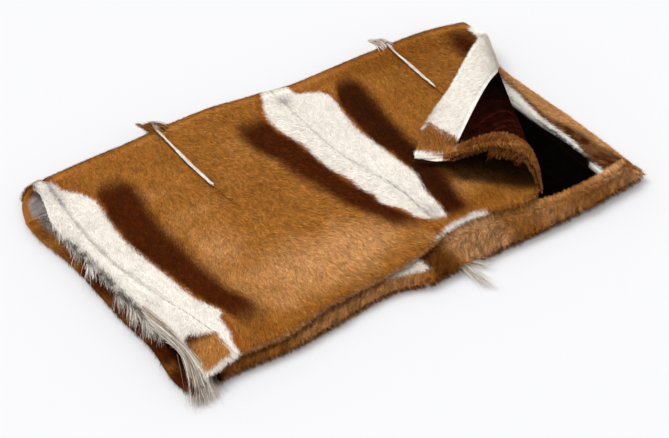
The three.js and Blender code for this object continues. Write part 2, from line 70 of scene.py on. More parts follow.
# Edges and seams of the layers, as (position, value) rows
TOP_FRONT = [
    (-520, -318), (-467, -316), (-403, -301), (-300, -304), (-207, -284), (-132, -278), (-50, -272),
    (40, -256), (95, -237), (169, -229), (231, -240), (300, -248), (400, -232), (500, -228), (624, -253),
    (700, -262),
]
TOP_LEFT = [
    (-330, -472), (-236, -476), (-145, -491), (-29, -509), (113, -522), (204, -528), (304, -514),
    (346, -549), (400, -566),
]
TOP_RIGHT = [(-300, 628), (-200, 619), (100, 575), (200, 560), (304, 556), (344, 552), (404, 545)]
LEFT_SEAM = [
    (-330, -402), (-245, -408), (-180, -423), (-110, -446), (-63, -461), (25, -482), (75, -488),
    (160, -493), (258, -493), (404, -492),
]
MIDDLE_SEAM = [
    (-330, 106), (-200, 99), (-110, 97), (-62, 91), (-12, 78), (56, 60), (110, 53), (200, 48), (300, 46),
    (404, 42),
]
FOLD_LINE = [
    (-560, 305), (-505, 311), (-454, 318), (-315, 326), (-120, 339), (28, 325), (101, 316), (234, 322),
    (369, 325), (458, 325), (560, 306),
]
BOTTOM_FRONT = [
    (-560, -320), (-500, -321), (-415, -312), (-306, -317), (-231, -312), (-105, -297), (-44, -298),
    (4, -314), (60, -311), (178, -310), (328, -311), (438, -309), (526, -300), (570, -292),
]
BOTTOM_LEFT = [
    (-330, -500), (-278, -517), (-182, -514), (-89, -526), (60, -537), (129, -547), (202, -563),
    (254, -566),
]
BOTTOM_RIGHT = [(-330, 560), (-281, 559), (-164, 558), (-44, 551), (79, 540), (126, 537), (250, 545)]
TOP_HEM = [(-520, 60), (250, 60), (330, 46), (420, 34), (465, 29), (500, 19), (535, 15), (640, 15)]
BOTTOM_HEM = [(-500, 62), (60, 70), (166, 72), (237, 68), (300, 52), (362, 38), (560, 36)]
RIGHT_HEM = [(-330, 74), (-160, 74), (-44, 68), (79, 63), (250, 60)]
# Low swells of the top layer: centre, half widths along and across the fold, and height
SWELLS = [
    (-250, -40, 150, 130, 2.5), (70, 60, 60, 200, -3), (260, 160, 90, 120, 2), (-420, 120, 50, 120, -1.5),
]

# The turned corner
CREASE_START = np.array([557.0, 255.0])
CREASE_END = np.array([336.0, -224.0])
LOOP_AT_START = (14.0, 14.0, 14.0, 14.0)
LOOP_AT_END = (34.0, 16.0, 62.0, 62.0)
FLAP_REACH_START = 50.0
FLAP_REACH_GROWTH = 120.0
FLAP_HEIGHT = 19.0
FLAP_SLOPE = 0.98
LIFT_HEIGHT, LIFT_FROM, LIFT_OVER = 6.0, 180.0, 330.0


# Curves and smooth noise


def curve(rows):
    at = np.array([row[0] for row in rows], float)
    value = np.array([row[1] for row in rows], float)
    slope = np.empty(len(at))
    slope[1:-1] = (value[2:] - value[:-2]) / (at[2:] - at[:-2])
    slope[0] = (value[1] - value[0]) / (at[1] - at[0])
    slope[-1] = (value[-1] - value[-2]) / (at[-1] - at[-2])

    def evaluate(position):
        p = np.clip(np.asarray(position, float), at[0], at[-1])
        i = np.clip(np.searchsorted(at, p, side="right") - 1, 0, len(at) - 2)
        span = at[i + 1] - at[i]
        s = (p - at[i]) / span
        start = value[i] * (1 + 2 * s) * (1 - s) ** 2 + span * slope[i] * s * (1 - s) ** 2
        end = value[i + 1] * s * s * (3 - 2 * s) - span * slope[i + 1] * s * s * (1 - s)
        return start + end

    return evaluate


top_front, top_left, top_right = curve(TOP_FRONT), curve(TOP_LEFT), curve(TOP_RIGHT)
left_seam, middle_seam, fold_line = curve(LEFT_SEAM), curve(MIDDLE_SEAM), curve(FOLD_LINE)
bottom_front, bottom_left, bottom_right = curve(BOTTOM_FRONT), curve(BOTTOM_LEFT), curve(BOTTOM_RIGHT)
top_hem, bottom_hem, right_hem = curve(TOP_HEM), curve(BOTTOM_HEM), curve(RIGHT_HEM)


def smooth(value, low, high):
    s = np.clip((value - low) / (high - low), 0, 1)
    return s * s * (3 - 2 * s)


def fade(value, low, high):
    return 1 - smooth(value, low, high)


def mix(a, b, share):
    return a + (b - a) * share


def bell(distance, width):
    return np.exp(-((distance / width) ** 2))


def noise(x, y, grain, seed):
    """Smooth random field from -1 to 1."""
    table = np.random.default_rng(seed).uniform(-1, 1, (257, 257))
    u, v = np.asarray(x) / grain + 131.7, np.asarray(y) / grain + 57.3
    i, j = np.floor(u).astype(int), np.floor(v).astype(int)
    s, t = u - i, v - j
    s, t = s * s * (3 - 2 * s), t * t * (3 - 2 * t)
    at = lambda a, b: table[a % 257, b % 257]
    low = mix(at(i, j), at(i + 1, j), s)
    high = mix(at(i, j + 1), at(i + 1, j + 1), s)
    return mix(low, high, t)


# Shape of the two layers


def top_height(x, y):
    near_edge = np.maximum(bell(y - top_front(x), 38), bell(x - top_left(y), 40))
    height = TOP_HEIGHT - FRONT_SINK * near_edge
    for centre_x, centre_y, along, across, rise in SWELLS:
        height = height + rise * bell(x - centre_x, along) * bell(y - centre_y, across) * (1 - near_edge)
    return mix(height, TOP_HEIGHT, smooth(y, fold_line(x) - 60, fold_line(x)))


CREASE = CREASE_END - CREASE_START
CREASE_LENGTH = float(np.linalg.norm(CREASE))
CREASE_ALONG = CREASE / CREASE_LENGTH
CREASE_OUT = np.array([-CREASE_ALONG[1], CREASE_ALONG[0]])


def crease_frame(x, y):
    from_x, from_y = x - CREASE_START[0], y - CREASE_START[1]
    along = from_x * CREASE_ALONG[0] + from_y * CREASE_ALONG[1]
    out = from_x * CREASE_OUT[0] + from_y * CREASE_OUT[1]
    share = np.clip(along / CREASE_LENGTH, 0, 1.1)
    sizes = [mix(a, b, share) for a, b in zip(LOOP_AT_START, LOOP_AT_END)]
    return along, out, sizes


def loop_section(travel, sizes, along):
    under, under_rise, over, over_rise = sizes
    under_arc = math.pi / 2 * np.sqrt((under**2 + under_rise**2) / 2)
    over_arc = math.pi / 2 * np.sqrt((over**2 + over_rise**2) / 2)
    first = np.clip(travel / under_arc, 0, 1) * math.pi / 2
    second = np.clip((travel - under_arc) / over_arc, 0, 1) * math.pi / 2
    back = np.maximum(travel - under_arc - over_arc, 0)
    reach = FLAP_REACH_START + FLAP_REACH_GROWTH * along / CREASE_LENGTH
    crown = under_rise + over_rise
    fall = (crown - FLAP_HEIGHT) * smooth(back, 0, reach)
    low = travel < under_arc
    out = np.where(low, under * (np.sin(first) - 1), over * (np.cos(second) - 1) - back * FLAP_SLOPE)
    up = np.where(low, under_rise * (1 - np.cos(first)), under_rise + over_rise * np.sin(second) - fall)
    return out, up


def lay_top(x, y):
    """Middle of the top layer's leather, for points of it laid flat."""
    fold = fold_line(x)
    past = y - fold
    turn = np.clip(past / FOLD_RADIUS, 0, math.pi)
    round_fold = np.stack([
        x,
        fold + FOLD_RADIUS * np.sin(turn) - np.maximum(past - FOLD_ARC, 0),
        REST + FOLD_RADIUS * (1 + np.cos(turn)),
    ], -1)
    along, out, sizes = crease_frame(x, y)
    travel = out + sizes[0]
    section_out, section_up = loop_section(travel, sizes, along)
    curled_x = CREASE_START[0] + along * CREASE_ALONG[0] + section_out * CREASE_OUT[0]
    curled_y = CREASE_START[1] + along * CREASE_ALONG[1] + section_out * CREASE_OUT[1]
    turned = travel > 0
    plan_x, plan_y = np.where(turned, curled_x, x), np.where(turned, curled_y, y)
    flat = np.stack([plan_x, plan_y, top_height(plan_x, plan_y) + np.where(turned, section_up, 0)], -1)
    return np.where((past > 0)[..., None], round_fold, flat)


def lay_bottom(x, y):
    """Middle of the bottom layer's leather."""
    width = bottom_hem(x)
    rise = smooth(x, LIFT_FROM, LIFT_FROM + LIFT_OVER) * fade(y - bottom_front(x), 0, width)
    return np.stack([x, y, REST + LIFT_HEIGHT * rise], -1)


def directions(lay, x, y, forward):
    step = 0.5
    along_x = lay(x + step, y) - lay(x - step, y)
    along_y = lay(x, y + step) - lay(x, y - step)
    normal = np.cross(along_x, along_y) * forward
    normal /= np.maximum(np.linalg.norm(normal, axis=-1, keepdims=True), 1e-9)
    return along_x, along_y, normal


def roundness(distance, width):
    share = np.clip(distance / width, 0, 1)
    return np.sqrt(np.maximum(1 - (1 - share) ** 2, 0))


def inner_depth(inside_hem, hem):
    roll = np.sin(np.clip(inside_hem / HEM_ROLL, 0, 1) * math.pi / 2)
    return mix(LEATHER, hem, roll)


def top_pile(x, y):
    _, out, sizes = crease_frame(x, y)
    travel = out + sizes[0]
    arc = math.pi / 2 * (sizes[0] + sizes[2])
    in_bend = smooth(travel, -sizes[0], sizes[0] / 2) * fade(travel, arc * 0.7, arc * 1.2)
    tight = np.minimum(PILE, 0.5 * np.minimum(sizes[1], sizes[0]))
    return mix(PILE, tight, np.where(y > fold_line(x), 0, in_bend))


def top_back(x):
    return 2 * fold_line(x) + FOLD_ARC - UNDER_SEAM_Y


def into_top_hem(x, y):
    return HEM_WIDTH - (y - top_front(x)) * HEM_WIDTH / top_hem(x)


def into_bottom_hem(x, y):
    return (bottom_front(x) + bottom_hem(x) - y) * HEM_WIDTH / bottom_hem(x)


class Panel:
    """One skin: its layer, its borders in the plan, and the depth of its inner side."""

    def __init__(self, layer, left, right, depth, left_rounding=SEAM_ROUNDING, right_rounding=SEAM_ROUNDING):
        self.layer, self.left, self.right, self.depth = layer, left, right, depth
        self.left_rounding, self.right_rounding = left_rounding, right_rounding
        self.top = layer == "top"
        self.lay = lay_top if self.top else lay_bottom
        self.forward = 1 if self.top else -1
        self.front = top_front if self.top else bottom_front
        self.back = top_back if self.top else (lambda x: np.full_like(x, UNDER_SEAM_Y - SEAM_GAP))

    def place(self, across, rows):
        """Plan points for shares across the panel and rows along it."""
        shape = np.broadcast(across, rows[1]).shape
        x = np.zeros(shape) + (self.left(0.0) + self.right(0.0)) / 2
        for _ in range(4):
            y = self.row(x, rows)
            x = mix(self.left(y), self.right(y), across)
        return x, self.row(x, rows)

    def row(self, x, rows):
        part, share = rows
        if not self.top:
            return mix(self.back(x), self.front(x), share)
        fold = fold_line(x)
        flat = mix(self.front(x), fold, share)
        bent = fold + FOLD_ARC * share
        under = mix(fold + FOLD_ARC, self.back(x), share)
        return np.where(part == 0, flat, np.where(part == 1, bent, under))

    def full(self, x, y):
        return (
            roundness(x - self.left(y), self.left_rounding)
            * roundness(self.right(y) - x, self.right_rounding)
            * roundness(y - self.front(x), EDGE_ROUNDING)
            * roundness(self.back(x) - y, SEAM_ROUNDING)
        )

    def offsets(self, x, y, sink=0.0):
        pile = top_pile(x, y) if self.top else np.full_like(x, PILE)
        depth = self.depth(x, y)
        hem = (depth - LEATHER) / max(HEM_TOP - LEATHER, 1)
        border = (pile - depth) / 2
        full = self.full(x, y)
        outer = mix(border, pile - sink, full)
        inner = mix(border, -depth + sink * np.clip(hem, 0, 1), full)
        return outer, inner


middle_left = lambda y: left_seam(y) + SEAM_GAP / 2
middle_right = lambda y: middle_seam(y) - SEAM_GAP / 2
PANELS = {
    "skin_top_left": Panel(
        "top", top_left, lambda y: left_seam(y) - SEAM_GAP / 2,
        lambda x, y: np.full_like(x, HEM_TOP), left_rounding=EDGE_ROUNDING),
    "skin_top_middle": Panel(
        "top", middle_left, middle_right, lambda x, y: inner_depth(into_top_hem(x, y), HEM_TOP)),
    "skin_top_right": Panel(
        "top", lambda y: middle_seam(y) + SEAM_GAP / 2, top_right,
        lambda x, y: inner_depth(np.maximum(into_top_hem(x, y), x - top_right(y) + RIGHT_HEM_WIDTH), HEM_TOP),
        right_rounding=EDGE_ROUNDING),
    "skin_bottom_left": Panel(
        "bottom", bottom_left, lambda y: BOTTOM_SEAM_X - SEAM_GAP / 2 + 0 * y,
        lambda x, y: inner_depth(
            np.maximum(into_bottom_hem(x, y), bottom_left(y) + LEFT_HEM_WIDTH - x), HEM_BOTTOM),
        left_rounding=EDGE_ROUNDING),
    "skin_bottom_right": Panel(
        "bottom", lambda y: BOTTOM_SEAM_X + SEAM_GAP / 2 + 0 * y, bottom_right,
        lambda x, y: inner_depth(
            np.maximum(into_bottom_hem(x, y), HEM_WIDTH - (bottom_right(y) - x) * HEM_WIDTH / right_hem(y)),
            HEM_BOTTOM),
        right_rounding=EDGE_ROUNDING),
}


# Markings of the skins


def linear(r, g, b):
    c = np.array([r, g, b], float) / 255
    return np.where(c <= 0.04045, c / 12.92, ((c + 0.055) / 1.055) ** 2.4)


TAN = linear(176, 114, 48)
TAN_PALE = linear(212, 156, 98)
TAN_DEEP = linear(152, 92, 32)
AMBER = linear(158, 86, 26)
DARK = linear(80, 33, 4)
CREAM = linear(242, 236, 227)
GREY = linear(166, 156, 152)
BROWN = linear(120, 68, 24)
PALE_BROWN = linear(196, 146, 98)
BLACKISH = linear(22, 9, 3)
# Dark brown of the painted shadow below the left roll
FLANK_SHADOW_BROWN = linear(64, 42, 26)

LEFT_WHITE = curve([
    (-300, -395), (-267, -392), (-246, -384), (-208, -382), (-192, -372), (-164, -386), (-140, -397),
    (-101, -406), (-27, -418), (21, -427), (66, -433), (122, -434), (204, -431), (234, -440), (254, -453),
    (275, -471), (300, -476), (318, -492), (345, -506),
])
DARK_ONE_LEFT = curve([
    (-252, -356), (-194, -368), (-145, -388), (-93, -400), (-17, -416), (61, -427), (152, -428),
    (190, -424), (225, -420), (260, -412),
])
DARK_ONE_RIGHT = curve([
    (-260, -300), (-194, -314), (-148, -332), (-84, -342), (-11, -349), (60, -354), (134, -351),
    (197, -346), (225, -346), (260, -352),
])
MIDDLE_WHITE = curve([
    (-330, 112), (-183, 86), (-172, 75), (-152, 70), (-132, 64), (-112, 46), (-93, 38), (-77, 42),
    (-47, 30), (0, 24), (37, 12), (82, 6), (131, 6), (170, -3), (210, -11), (254, -10), (288, 0),
    (318, 15), (345, 30),
])
DARK_TWO_LEFT = curve([
    (-190, 40), (-140, 12), (-105, -4), (-60, -24), (-12, -38), (48, -54), (108, -66), (161, -82),
    (210, -90), (270, -92),
])
DARK_TWO_RIGHT = curve([
    (-190, 74), (-167, 66), (-145, 58), (-103, 40), (-76, 38), (-32, 22), (21, 13), (87, 3), (160, -4),
    (201, -17), (270, -26),
])
RIGHT_WHITE = curve([
    (-201, 130), (-176, 134), (-143, 137), (-115, 139), (-60, 152), (-27, 148), (38, 141), (104, 134),
    (139, 134), (195, 140), (233, 145), (266, 139), (283, 112), (293, 90), (322, 84), (345, 72),
])
DARK_THREE_LEFT = curve([
    (-201, 132), (-139, 140), (-98, 140), (-55, 152), (9, 152), (66, 140), (129, 141), (188, 146),
    (243, 160), (285, 182),
])
DARK_THREE_RIGHT = curve([
    (-201, 184), (-166, 186), (-104, 200), (-40, 208), (27, 206), (73, 206), (133, 214), (191, 220),
    (231, 226), (285, 232),
])
WHITE_STRIP = curve([
    (-260, 492), (-209, 491), (-178, 495), (-133, 503), (-88, 499), (-39, 497), (12, 501), (63, 507),
    (98, 506), (140, 512),
])
TAN_STRIP = curve([
    (-273, 552), (-230, 545), (-159, 531), (-120, 527), (-78, 517), (-30, 503), (12, 505), (63, 509),
    (98, 508), (140, 514),
])
CREST_ONE = curve([
    (43, -206), (84, -213), (123, -217), (174, -220), (217, -223), (269, -225), (340, -229), (365, -231),
])
CREST_TWO = curve([(102, 353), (152, 348), (235, 348), (285, 348), (330, 350), (365, 352)])

# Width of the shaded flank below the left roll
FLANK = curve([
    (-260, 0), (-200, 8), (-150, 12), (-100, 9), (-56, 9), (0, 10), (60, 9), (120, 5), (170, 0), (300, 0),
])
# Lower end of the white hem on the turned corner
TUFT_EDGE = curve([(535, -212), (549, -198), (565, -178), (585, -160), (605, -146), (630, -136)])
# Soft patches of the tan coat, partly its own tone and partly painted sheen and painted shade of the hair:
# centre, half widths and strength, pale above zero and deep below
TONE_AND_SHEEN_PATCHES = [
    (-285, 40, 55, 170, 0.1), (-300, -60, 50, 60, 0.5), (-140, -165, 130, 55, 0.9),
    (-50, -190, 60, 40, 0.6), (-224, -232, 110, 30, 0.5), (-330, -272, 45, 20, -0.9),
    (-140, 20, 50, 120, -0.3), (-375, 296, 120, 60, -0.55), (-100, 300, 100, 50, -0.3),
    (364, 298, 110, 45, -1.0), (300, 150, 60, 90, -0.3), (420, 290, 50, 40, -0.5),
    (250, 300, 70, 40, -0.6), (320, 40, 60, 60, 0.3), (60, -235, 60, 12, 0.5), (183, -205, 50, 18, -0.7),
    (250, -200, 60, 25, -0.8),
]


def paint(base, color, amount):
    return mix(base, color, np.clip(amount, 0, 1)[..., None])


def strip(x, low, high, soft_low, soft_high):
    """One inside a strip of the cloth, easing to zero over its two edges."""
    return smooth(x - low, -soft_low, soft_low) * fade(x - high, -soft_high, soft_high)


def tan_coat(x, y):
    tone = noise(x, y, 130, 3) * 0.15 + noise(x, y, 45, 4) * 0.2 + noise(x, y * 0.5, 14, 5) * 0.12
    # The listed patches add painted sheen (pale) and painted shade (deep) to the coat's own tone
    for centre_x, centre_y, wide, deep, strength in TONE_AND_SHEEN_PATCHES:
        tone = tone + strength * bell(x - centre_x, wide) * bell(y - centre_y, deep)
    coat = np.broadcast_to(TAN, np.shape(x) + (3,))
    return paint(paint(coat, TAN_PALE, tone), TAN_DEEP, -tone)


def dark_bands(x, y):
    """The three dark side bands and the dark patch behind the turned corner."""
    wander = noise(x, y, 26, 6) * 3
    in_one = 14 * smooth(y, 205, 280)
    one = strip(x + wander, DARK_ONE_LEFT(y) + in_one, DARK_ONE_RIGHT(y) - in_one, 6, 17)
    one = one * smooth(y, -275, -195) * fade(y + 0.2 * (x + 380), 205, 272)
    in_two = 8 * smooth(y, 200, 280)
    two = strip(x + wander, DARK_TWO_LEFT(y) + in_two, DARK_TWO_RIGHT(y), 17, 6)
    two = two * smooth(y, -212, -150) * fade(y, 226, 292)
    in_three = 14 * smooth(y, 215, 290)
    three = strip(x + wander, DARK_THREE_LEFT(y), DARK_THREE_RIGHT(y) - in_three, 5, 17)
    three = three * smooth(y, -216, -186) * fade(y, 240, 306)
    spot = fade(np.hypot(x - 502, (y - 244) * 0.7) + 5 * noise(x, y, 20, 27), 10, 60)
    shade = 0.75 * smooth(x, 470, 520) * smooth(y, 150, 200) * fade(y, 270, 310)
    return np.maximum(np.maximum(one, two), np.maximum(three, np.maximum(spot, shade)))


def loop_shade(x, y):
    """Painted shadow on the skin that lies inside the turned corner and under the flap's edge."""
    _, out, sizes = crease_frame(x, y)
    low = -114 - 0.95 * (x - 200)
    under_flap_shadow = smooth(y - low, -26, 16) * fade(y, -62, -40) * smooth(x, 180, 222)
    return np.maximum(smooth(out + sizes[0], 4, 55), under_flap_shadow)


def top_white(x, y):
    left = fade(x - LEFT_WHITE(y), -3, 3)
    end = -186 - 0.35 * (x - 88)
    middle = strip(x, MIDDLE_WHITE(y), RIGHT_WHITE(y), 3, 3) * smooth(y - end, -5, 4)
    corner = smooth(x - 541, -4, 4) * smooth(y, 222, 236) * fade(y, 288, 300)
    along = x - 68
    rim = y - top_front(x) - 3 * noise(x, 0 * x, 14, 35)
    edge = smooth(along, -10, 10) * fade(x - 200, -12, 12) * fade(rim, 2 + 0.03 * along, 8 + 0.04 * along)
    return np.maximum(np.maximum(left, middle), np.maximum(corner, edge))


def corner_patch(x, y):
    """Brown patch at the front left corner, with a white rim along the front."""
    inside = strip(x, np.full_like(x, -466), -407 - 38 * smooth(y, -236, -212), 5, 4)
    return inside * fade(y + 209 + 0.012 * (x + 432) ** 2, -5, 5) * smooth(y - top_front(x), 5, 10)


def top_colour(x, y):
    coat = tan_coat(x, y)
    ridge = bell(x - CREST_ONE(y), 26) * smooth(y, -40, 160) + bell(x - CREST_TWO(y), 26) * smooth(y, 0, 190)
    coat = paint(coat, TAN_DEEP, ridge * 0.5)
    coat = paint(coat, TAN_DEEP, fade(y - top_front(x), 6, 40) * 0.45)
    part_one = bell(x - CREST_ONE(y), 2.2) * strip(y, 40, 130, 15, 10)
    part_two = bell(x - CREST_TWO(y), 2.2) * strip(y, 98, 160, 12, 10)
    coat = paint(coat, DARK, (part_one + part_two) * 0.7)
    amber = np.maximum(bell(x - LEFT_WHITE(y) - 7, 10), bell(x - MIDDLE_WHITE(y) + 7, 9))
    coat = paint(coat, AMBER, np.maximum(amber, bell(x - RIGHT_WHITE(y) - 5, 8)) * 0.8)
    bands = dark_bands(x, y)
    coat = paint(coat, DARK, bands**0.8)
    middle_three = mix(DARK_THREE_LEFT(y), DARK_THREE_RIGHT(y), 0.5)
    coat = paint(coat, BLACKISH, bell(x - middle_three, 30) * bands * 0.5)
    # Painted shadow inside the turned corner and under its flap
    coat = paint(coat, BLACKISH, loop_shade(x, y) * 0.9)
    cream = paint(np.broadcast_to(CREAM, np.shape(x) + (3,)), GREY, noise(x, y, 24, 9) * 0.12)
    # Painted shade on the white fur: grey patches beside the seams and soft grey lines along them
    seam_shade = bell(x - left_seam(y) - 3, 16) * smooth(y, 215, 265) * 0.4
    seam_shade = seam_shade + bell(x - middle_seam(y) - 8, 18) * bell(y - 285, 22) * 0.55
    seam_shade = seam_shade + bell(x - middle_seam(y) - 14, 14) * bell(y + 172, 22) * 0.5
    seam_line_shade = bell(x - middle_seam(y) - 1, 2.2) * (0.3 + 0.5 * smooth(noise(0 * x, y, 60, 17), -0.2, 0.5))
    seam_line_shade = seam_line_shade + bell(x - left_seam(y) - 3, 4) * smooth(y, -150, -20) * 0.45
    cream = paint(cream, GREY, seam_shade + seam_line_shade)
    coat = paint(coat, cream, top_white(x, y))
    # Painted shadow in the gap below the left roll, broken by pale grey tufts
    flank = fade(x - top_left(y) - FLANK(y), -3, 5)
    shade = mix(FLANK_SHADOW_BROWN, mix(GREY, CREAM, 0.4), smooth(noise(x, y, 13, 18), -0.05, 0.4)[..., None])
    coat = paint(coat, shade, flank * smooth(FLANK(y), 0, 5) * 0.85)
    fringe = bell(y + 214 + 0.012 * (x + 432) ** 2 + 3 * noise(x, y, 8, 11), 17)
    patch = paint(paint(tan_coat(x, y), TAN_PALE, 0.25 + 0 * x), BROWN, fringe)
    patch = paint(patch, DARK, fringe * fade(x, -436, -408) * 0.95)
    coat = paint(coat, patch, corner_patch(x, y))
    back_corner = paint(tan_coat(x, y), BROWN, 0.35 + 0 * x)
    return paint(coat, back_corner, strip(y, 306, 900, 5, 4) * fade(x, -522, -510))


def top_inner_colour(x, y):
    """Fur turned under at the top layer's hems."""
    coat = paint(tan_coat(x, y), BROWN, 0.7 + 0.35 * noise(x, y, 18, 13))
    coat = paint(coat, DARK, 0.35 + 0.5 * noise(x, y, 7, 30))
    white = smooth(x - top_right(y) + RIGHT_HEM_WIDTH + 8, -3, 3)
    tuft = fade(y - TUFT_EDGE(x) + noise(x, y, 12, 14) * 9, -9, 9)
    coat = paint(coat, CREAM, white)
    coat = paint(coat, paint(tan_coat(x, y), BROWN, 0.25 + 0.5 * noise(x, y, 10, 15)), white * tuft)
    coat = paint(coat, CREAM, smooth(x, 556, 570) * fade(y - top_front(x) - (x - 556) * 0.16, -2, 2))
    # Painted shade: the white fur turned under at the left end is coloured grey
    left = fade(x - left_seam(y), 0, 30)
    coat = paint(coat, GREY * (0.7 + 0.3 * noise(x * 2, y, 9, 34))[..., None], left)
    rim = fade(x - top_left(y) + noise(x, y, 12, 16) * 3, 14, 22)
    return paint(coat, paint(tan_coat(x, y), BROWN, 0.6 + 0 * x), left * smooth(y, 292, 312) * rim)


def bottom_colour(x, y):
    """Fur of the bottom layer's outer side."""
    coat = paint(tan_coat(x, y), BROWN, 0.15 + noise(x, y, 50, 12) * 0.5)
    light = 0.95 * strip(x, 100, 215, 25, 40) + 0.6 * smooth(x, 440, 520) + 0.22
    coat = paint(coat, PALE_BROWN, smooth(x, 70, 110) * (light + 0.4 * noise(x, y, 50, 28)))
    coat = paint(coat, PALE_BROWN, fade(x, -20, 10) * smooth(x, -330, -250) * 0.5)
    coat = paint(coat, DARK, strip(x, 26, 84, 8, 34) * 0.75)
    left = fade(x - bottom_left(y), 60, 90)
    amount = (1 - 0.18 * smooth(y, -160, -60)) * (1 - 0.8 * smooth(y, 90, 180))
    return paint(coat, DARK, left * (amount + 0.4 * noise(x, y, 30, 16)))


def bottom_inner_colour(x, y):
    """Fur of the bottom layer's turned hems."""
    coat = bottom_colour(x, y)
    front = fade(y - bottom_front(x), bottom_hem(x) + 1, bottom_hem(x) + 6)
    edge = x - WHITE_STRIP(y)
    white = fade(edge, -2, 2) * (1 - front) * smooth(x, 300, 340)
    tan = smooth(x - TAN_STRIP(y) + 3 * noise(x, y, 10, 26), -3, 5)
    streak = mix(0.9 + 0.3 * noise(x, y * 0.5, 9, 22), bell(x - TAN_STRIP(y) - 2, 5) * 0.5, tan)
    streak = (1 - front) * smooth(x, 300, 340) * streak
    coat = paint(coat, TAN_PALE, tan * (1 - front) * 0.5)
    coat = paint(coat, DARK, streak)
    coat = paint(coat, CREAM, white)
    bulge = 8 * smooth(y, -235, -200) * smooth(-y, 10, 110)
    foot = fade(x - bottom_right(y) + right_hem(y) - bulge, -2, 2)
    coat = paint(coat, BLACKISH * 0.1, foot * (1 - front) * smooth(x, 400, 440))
    left = smooth(x - bottom_left(y), 15 + 4 * noise(y, y, 20, 23), 27) * fade(x, -440, -430)
    upper = smooth(y + 20 * noise(x, y, 14, 24), 110, 150)
    pale = mix(0.55 * smooth(noise(x, y, 13, 25), 0, 0.4) * smooth(y, -190, -150), 1.0, upper)
    # Painted shadow in the gap under the top layer's left end, between the grey tufts
    coat = paint(coat, BLACKISH, left * (1 - pale) * 0.8)
    coat = paint(coat, GREY * (0.75 + 0.25 * noise(x * 2, y, 9, 29))[..., None], left * pale)
    seam = smooth(y + 277 + 0.2 * (x + 26), -2, 2) * fade(x, 27, 31) * smooth(x, -70, -35)
    return paint(coat, CREAM, seam)


COLOURS = {"top": (top_colour, top_inner_colour), "bottom": (bottom_colour, bottom_inner_colour)}


# Meshes

# The hide is darker than the tips of the fur on it
UNDERCOAT_SHADE = 0.8
# Lowest points of short and long hairs above the ground
SHORT_HAIR_FLOOR = 0.4
LONG_HAIR_FLOOR = 0.5
# Depth of the short hairs' roots, and how far their colours stray over the markings
ROOT_DEPTH = 0.4
COLOUR_STRAY = 2.4
# Share of the top layer's hairs that grow round the fold
FOLD_SHARE = 0.07


def to_world(points):
    return (np.asarray(points) + ORIGIN) / 1000


def add_mesh(name, points, faces, colours, material, smooth_faces=True):
    """Mesh object from plan points, faces of three or four corners, and a colour for each point."""
    mesh = bpy.data.meshes.new(name)
    points = to_world(points).astype(np.float32)
    faces = np.asarray(faces, np.int32)
    corners = faces.shape[1]
    mesh.vertices.add(len(points))
    mesh.vertices.foreach_set("co", points.ravel())
    mesh.loops.add(faces.size)
    mesh.loops.foreach_set("vertex_index", faces.ravel())
    mesh.polygons.add(len(faces))
    mesh.polygons.foreach_set("loop_start", np.arange(0, faces.size, corners, dtype=np.int32))
    if smooth_faces:
        mesh.polygons.foreach_set("use_smooth", np.ones(len(faces), bool))
    layer = mesh.color_attributes.new("Coat", "FLOAT_COLOR", "POINT")
    rgba = np.concatenate([np.clip(colours, 0, 1), np.ones((len(colours), 1))], 1).astype(np.float32)
    layer.data.foreach_set("color", rgba.ravel())
    mesh.update()
    mesh.validate()
    mesh.materials.append(material)
    piece = bpy.data.objects.new(name, mesh)
    bpy.context.scene.collection.objects.link(piece)
    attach(piece, "root")
    return piece


def spaced(total, step):
    """Shares along a length, closer together at both ends."""
    fine = np.array([0, 0.8, 2, 4, 7])
    middle = np.linspace(11, total - 11, max(int((total - 22) / step), 2))
    return np.concatenate([fine, middle, total - fine[::-1]]) / total


def closed_faces(index_outer, index_inner):
    faces = []
    for index, turned in ((index_outer, False), (index_inner, True)):
        quad = np.stack([index[:-1, :-1], index[:-1, 1:], index[1:, 1:], index[1:, :-1]], -1).reshape(-1, 4)
        faces.append(quad[:, ::-1] if turned else quad)
    return np.concatenate(faces)


def closed_grid(outer, inner, outer_colour, inner_colour):
    rows, columns = outer.shape[:2]
    index_outer = np.arange(rows * columns).reshape(rows, columns)
    index_inner = index_outer.copy()
    inside = np.zeros((rows, columns), bool)
    inside[1:-1, 1:-1] = True
    index_inner[inside] = rows * columns + np.arange(inside.sum())
    points = np.concatenate([outer.reshape(-1, 3), inner[inside]])
    colours = np.concatenate([outer_colour.reshape(-1, 3), inner_colour[inside]])
    return points, closed_faces(index_outer, index_inner), colours


def row_table(panel, step):
    if not panel.top:
        share = spaced(560, step)
        return np.zeros_like(share), share
    flat = spaced(640, step)
    flat = flat[flat < (640 - 8) / 640]
    bent = np.linspace(0, 1, 19)
    under = 1 - spaced(75, 8)[::-1]
    under = under[under > 0.01]
    part = np.concatenate([0 * flat, 0 * bent + 1, 0 * under + 2])
    share = np.concatenate([flat, bent, np.sort(under)])
    return part, share


def relief(x, y):
    """Small soft rises of the top layer's coat: tufts, the two crests and the rolls beside the seams."""
    rise = noise(x, y, 55, 31) * 0.7 + noise(x, y, 22, 32) * 0.45 + noise(x, y, 9, 33) * 0.25 - 0.5
    crests = bell(x - CREST_ONE(y) + 3, 8) * smooth(y, 70, 150)
    crests = crests + bell(x - CREST_TWO(y) + 3, 8) * smooth(y, 110, 180)
    rise = rise + 3.4 * crests * fade(y, 345, 370)
    roll = bell(x - left_seam(y) + 13, 10) * smooth(y, -150, -70)
    gully = bell(x - left_seam(y) - 3, 3) * smooth(y, -130, -70) + bell(x - middle_seam(y) - 2, 3)
    return rise + 3.6 * roll - 1.6 * gully


def fur_offsets(panel, x, y):
    outer, inner = panel.offsets(x, y, HAIR_DEPTH)
    if panel.top:
        outer = outer + relief(x, y) * panel.full(x, y) * (y < fold_line(x) + FOLD_ARC * 0.6)
    return outer, inner


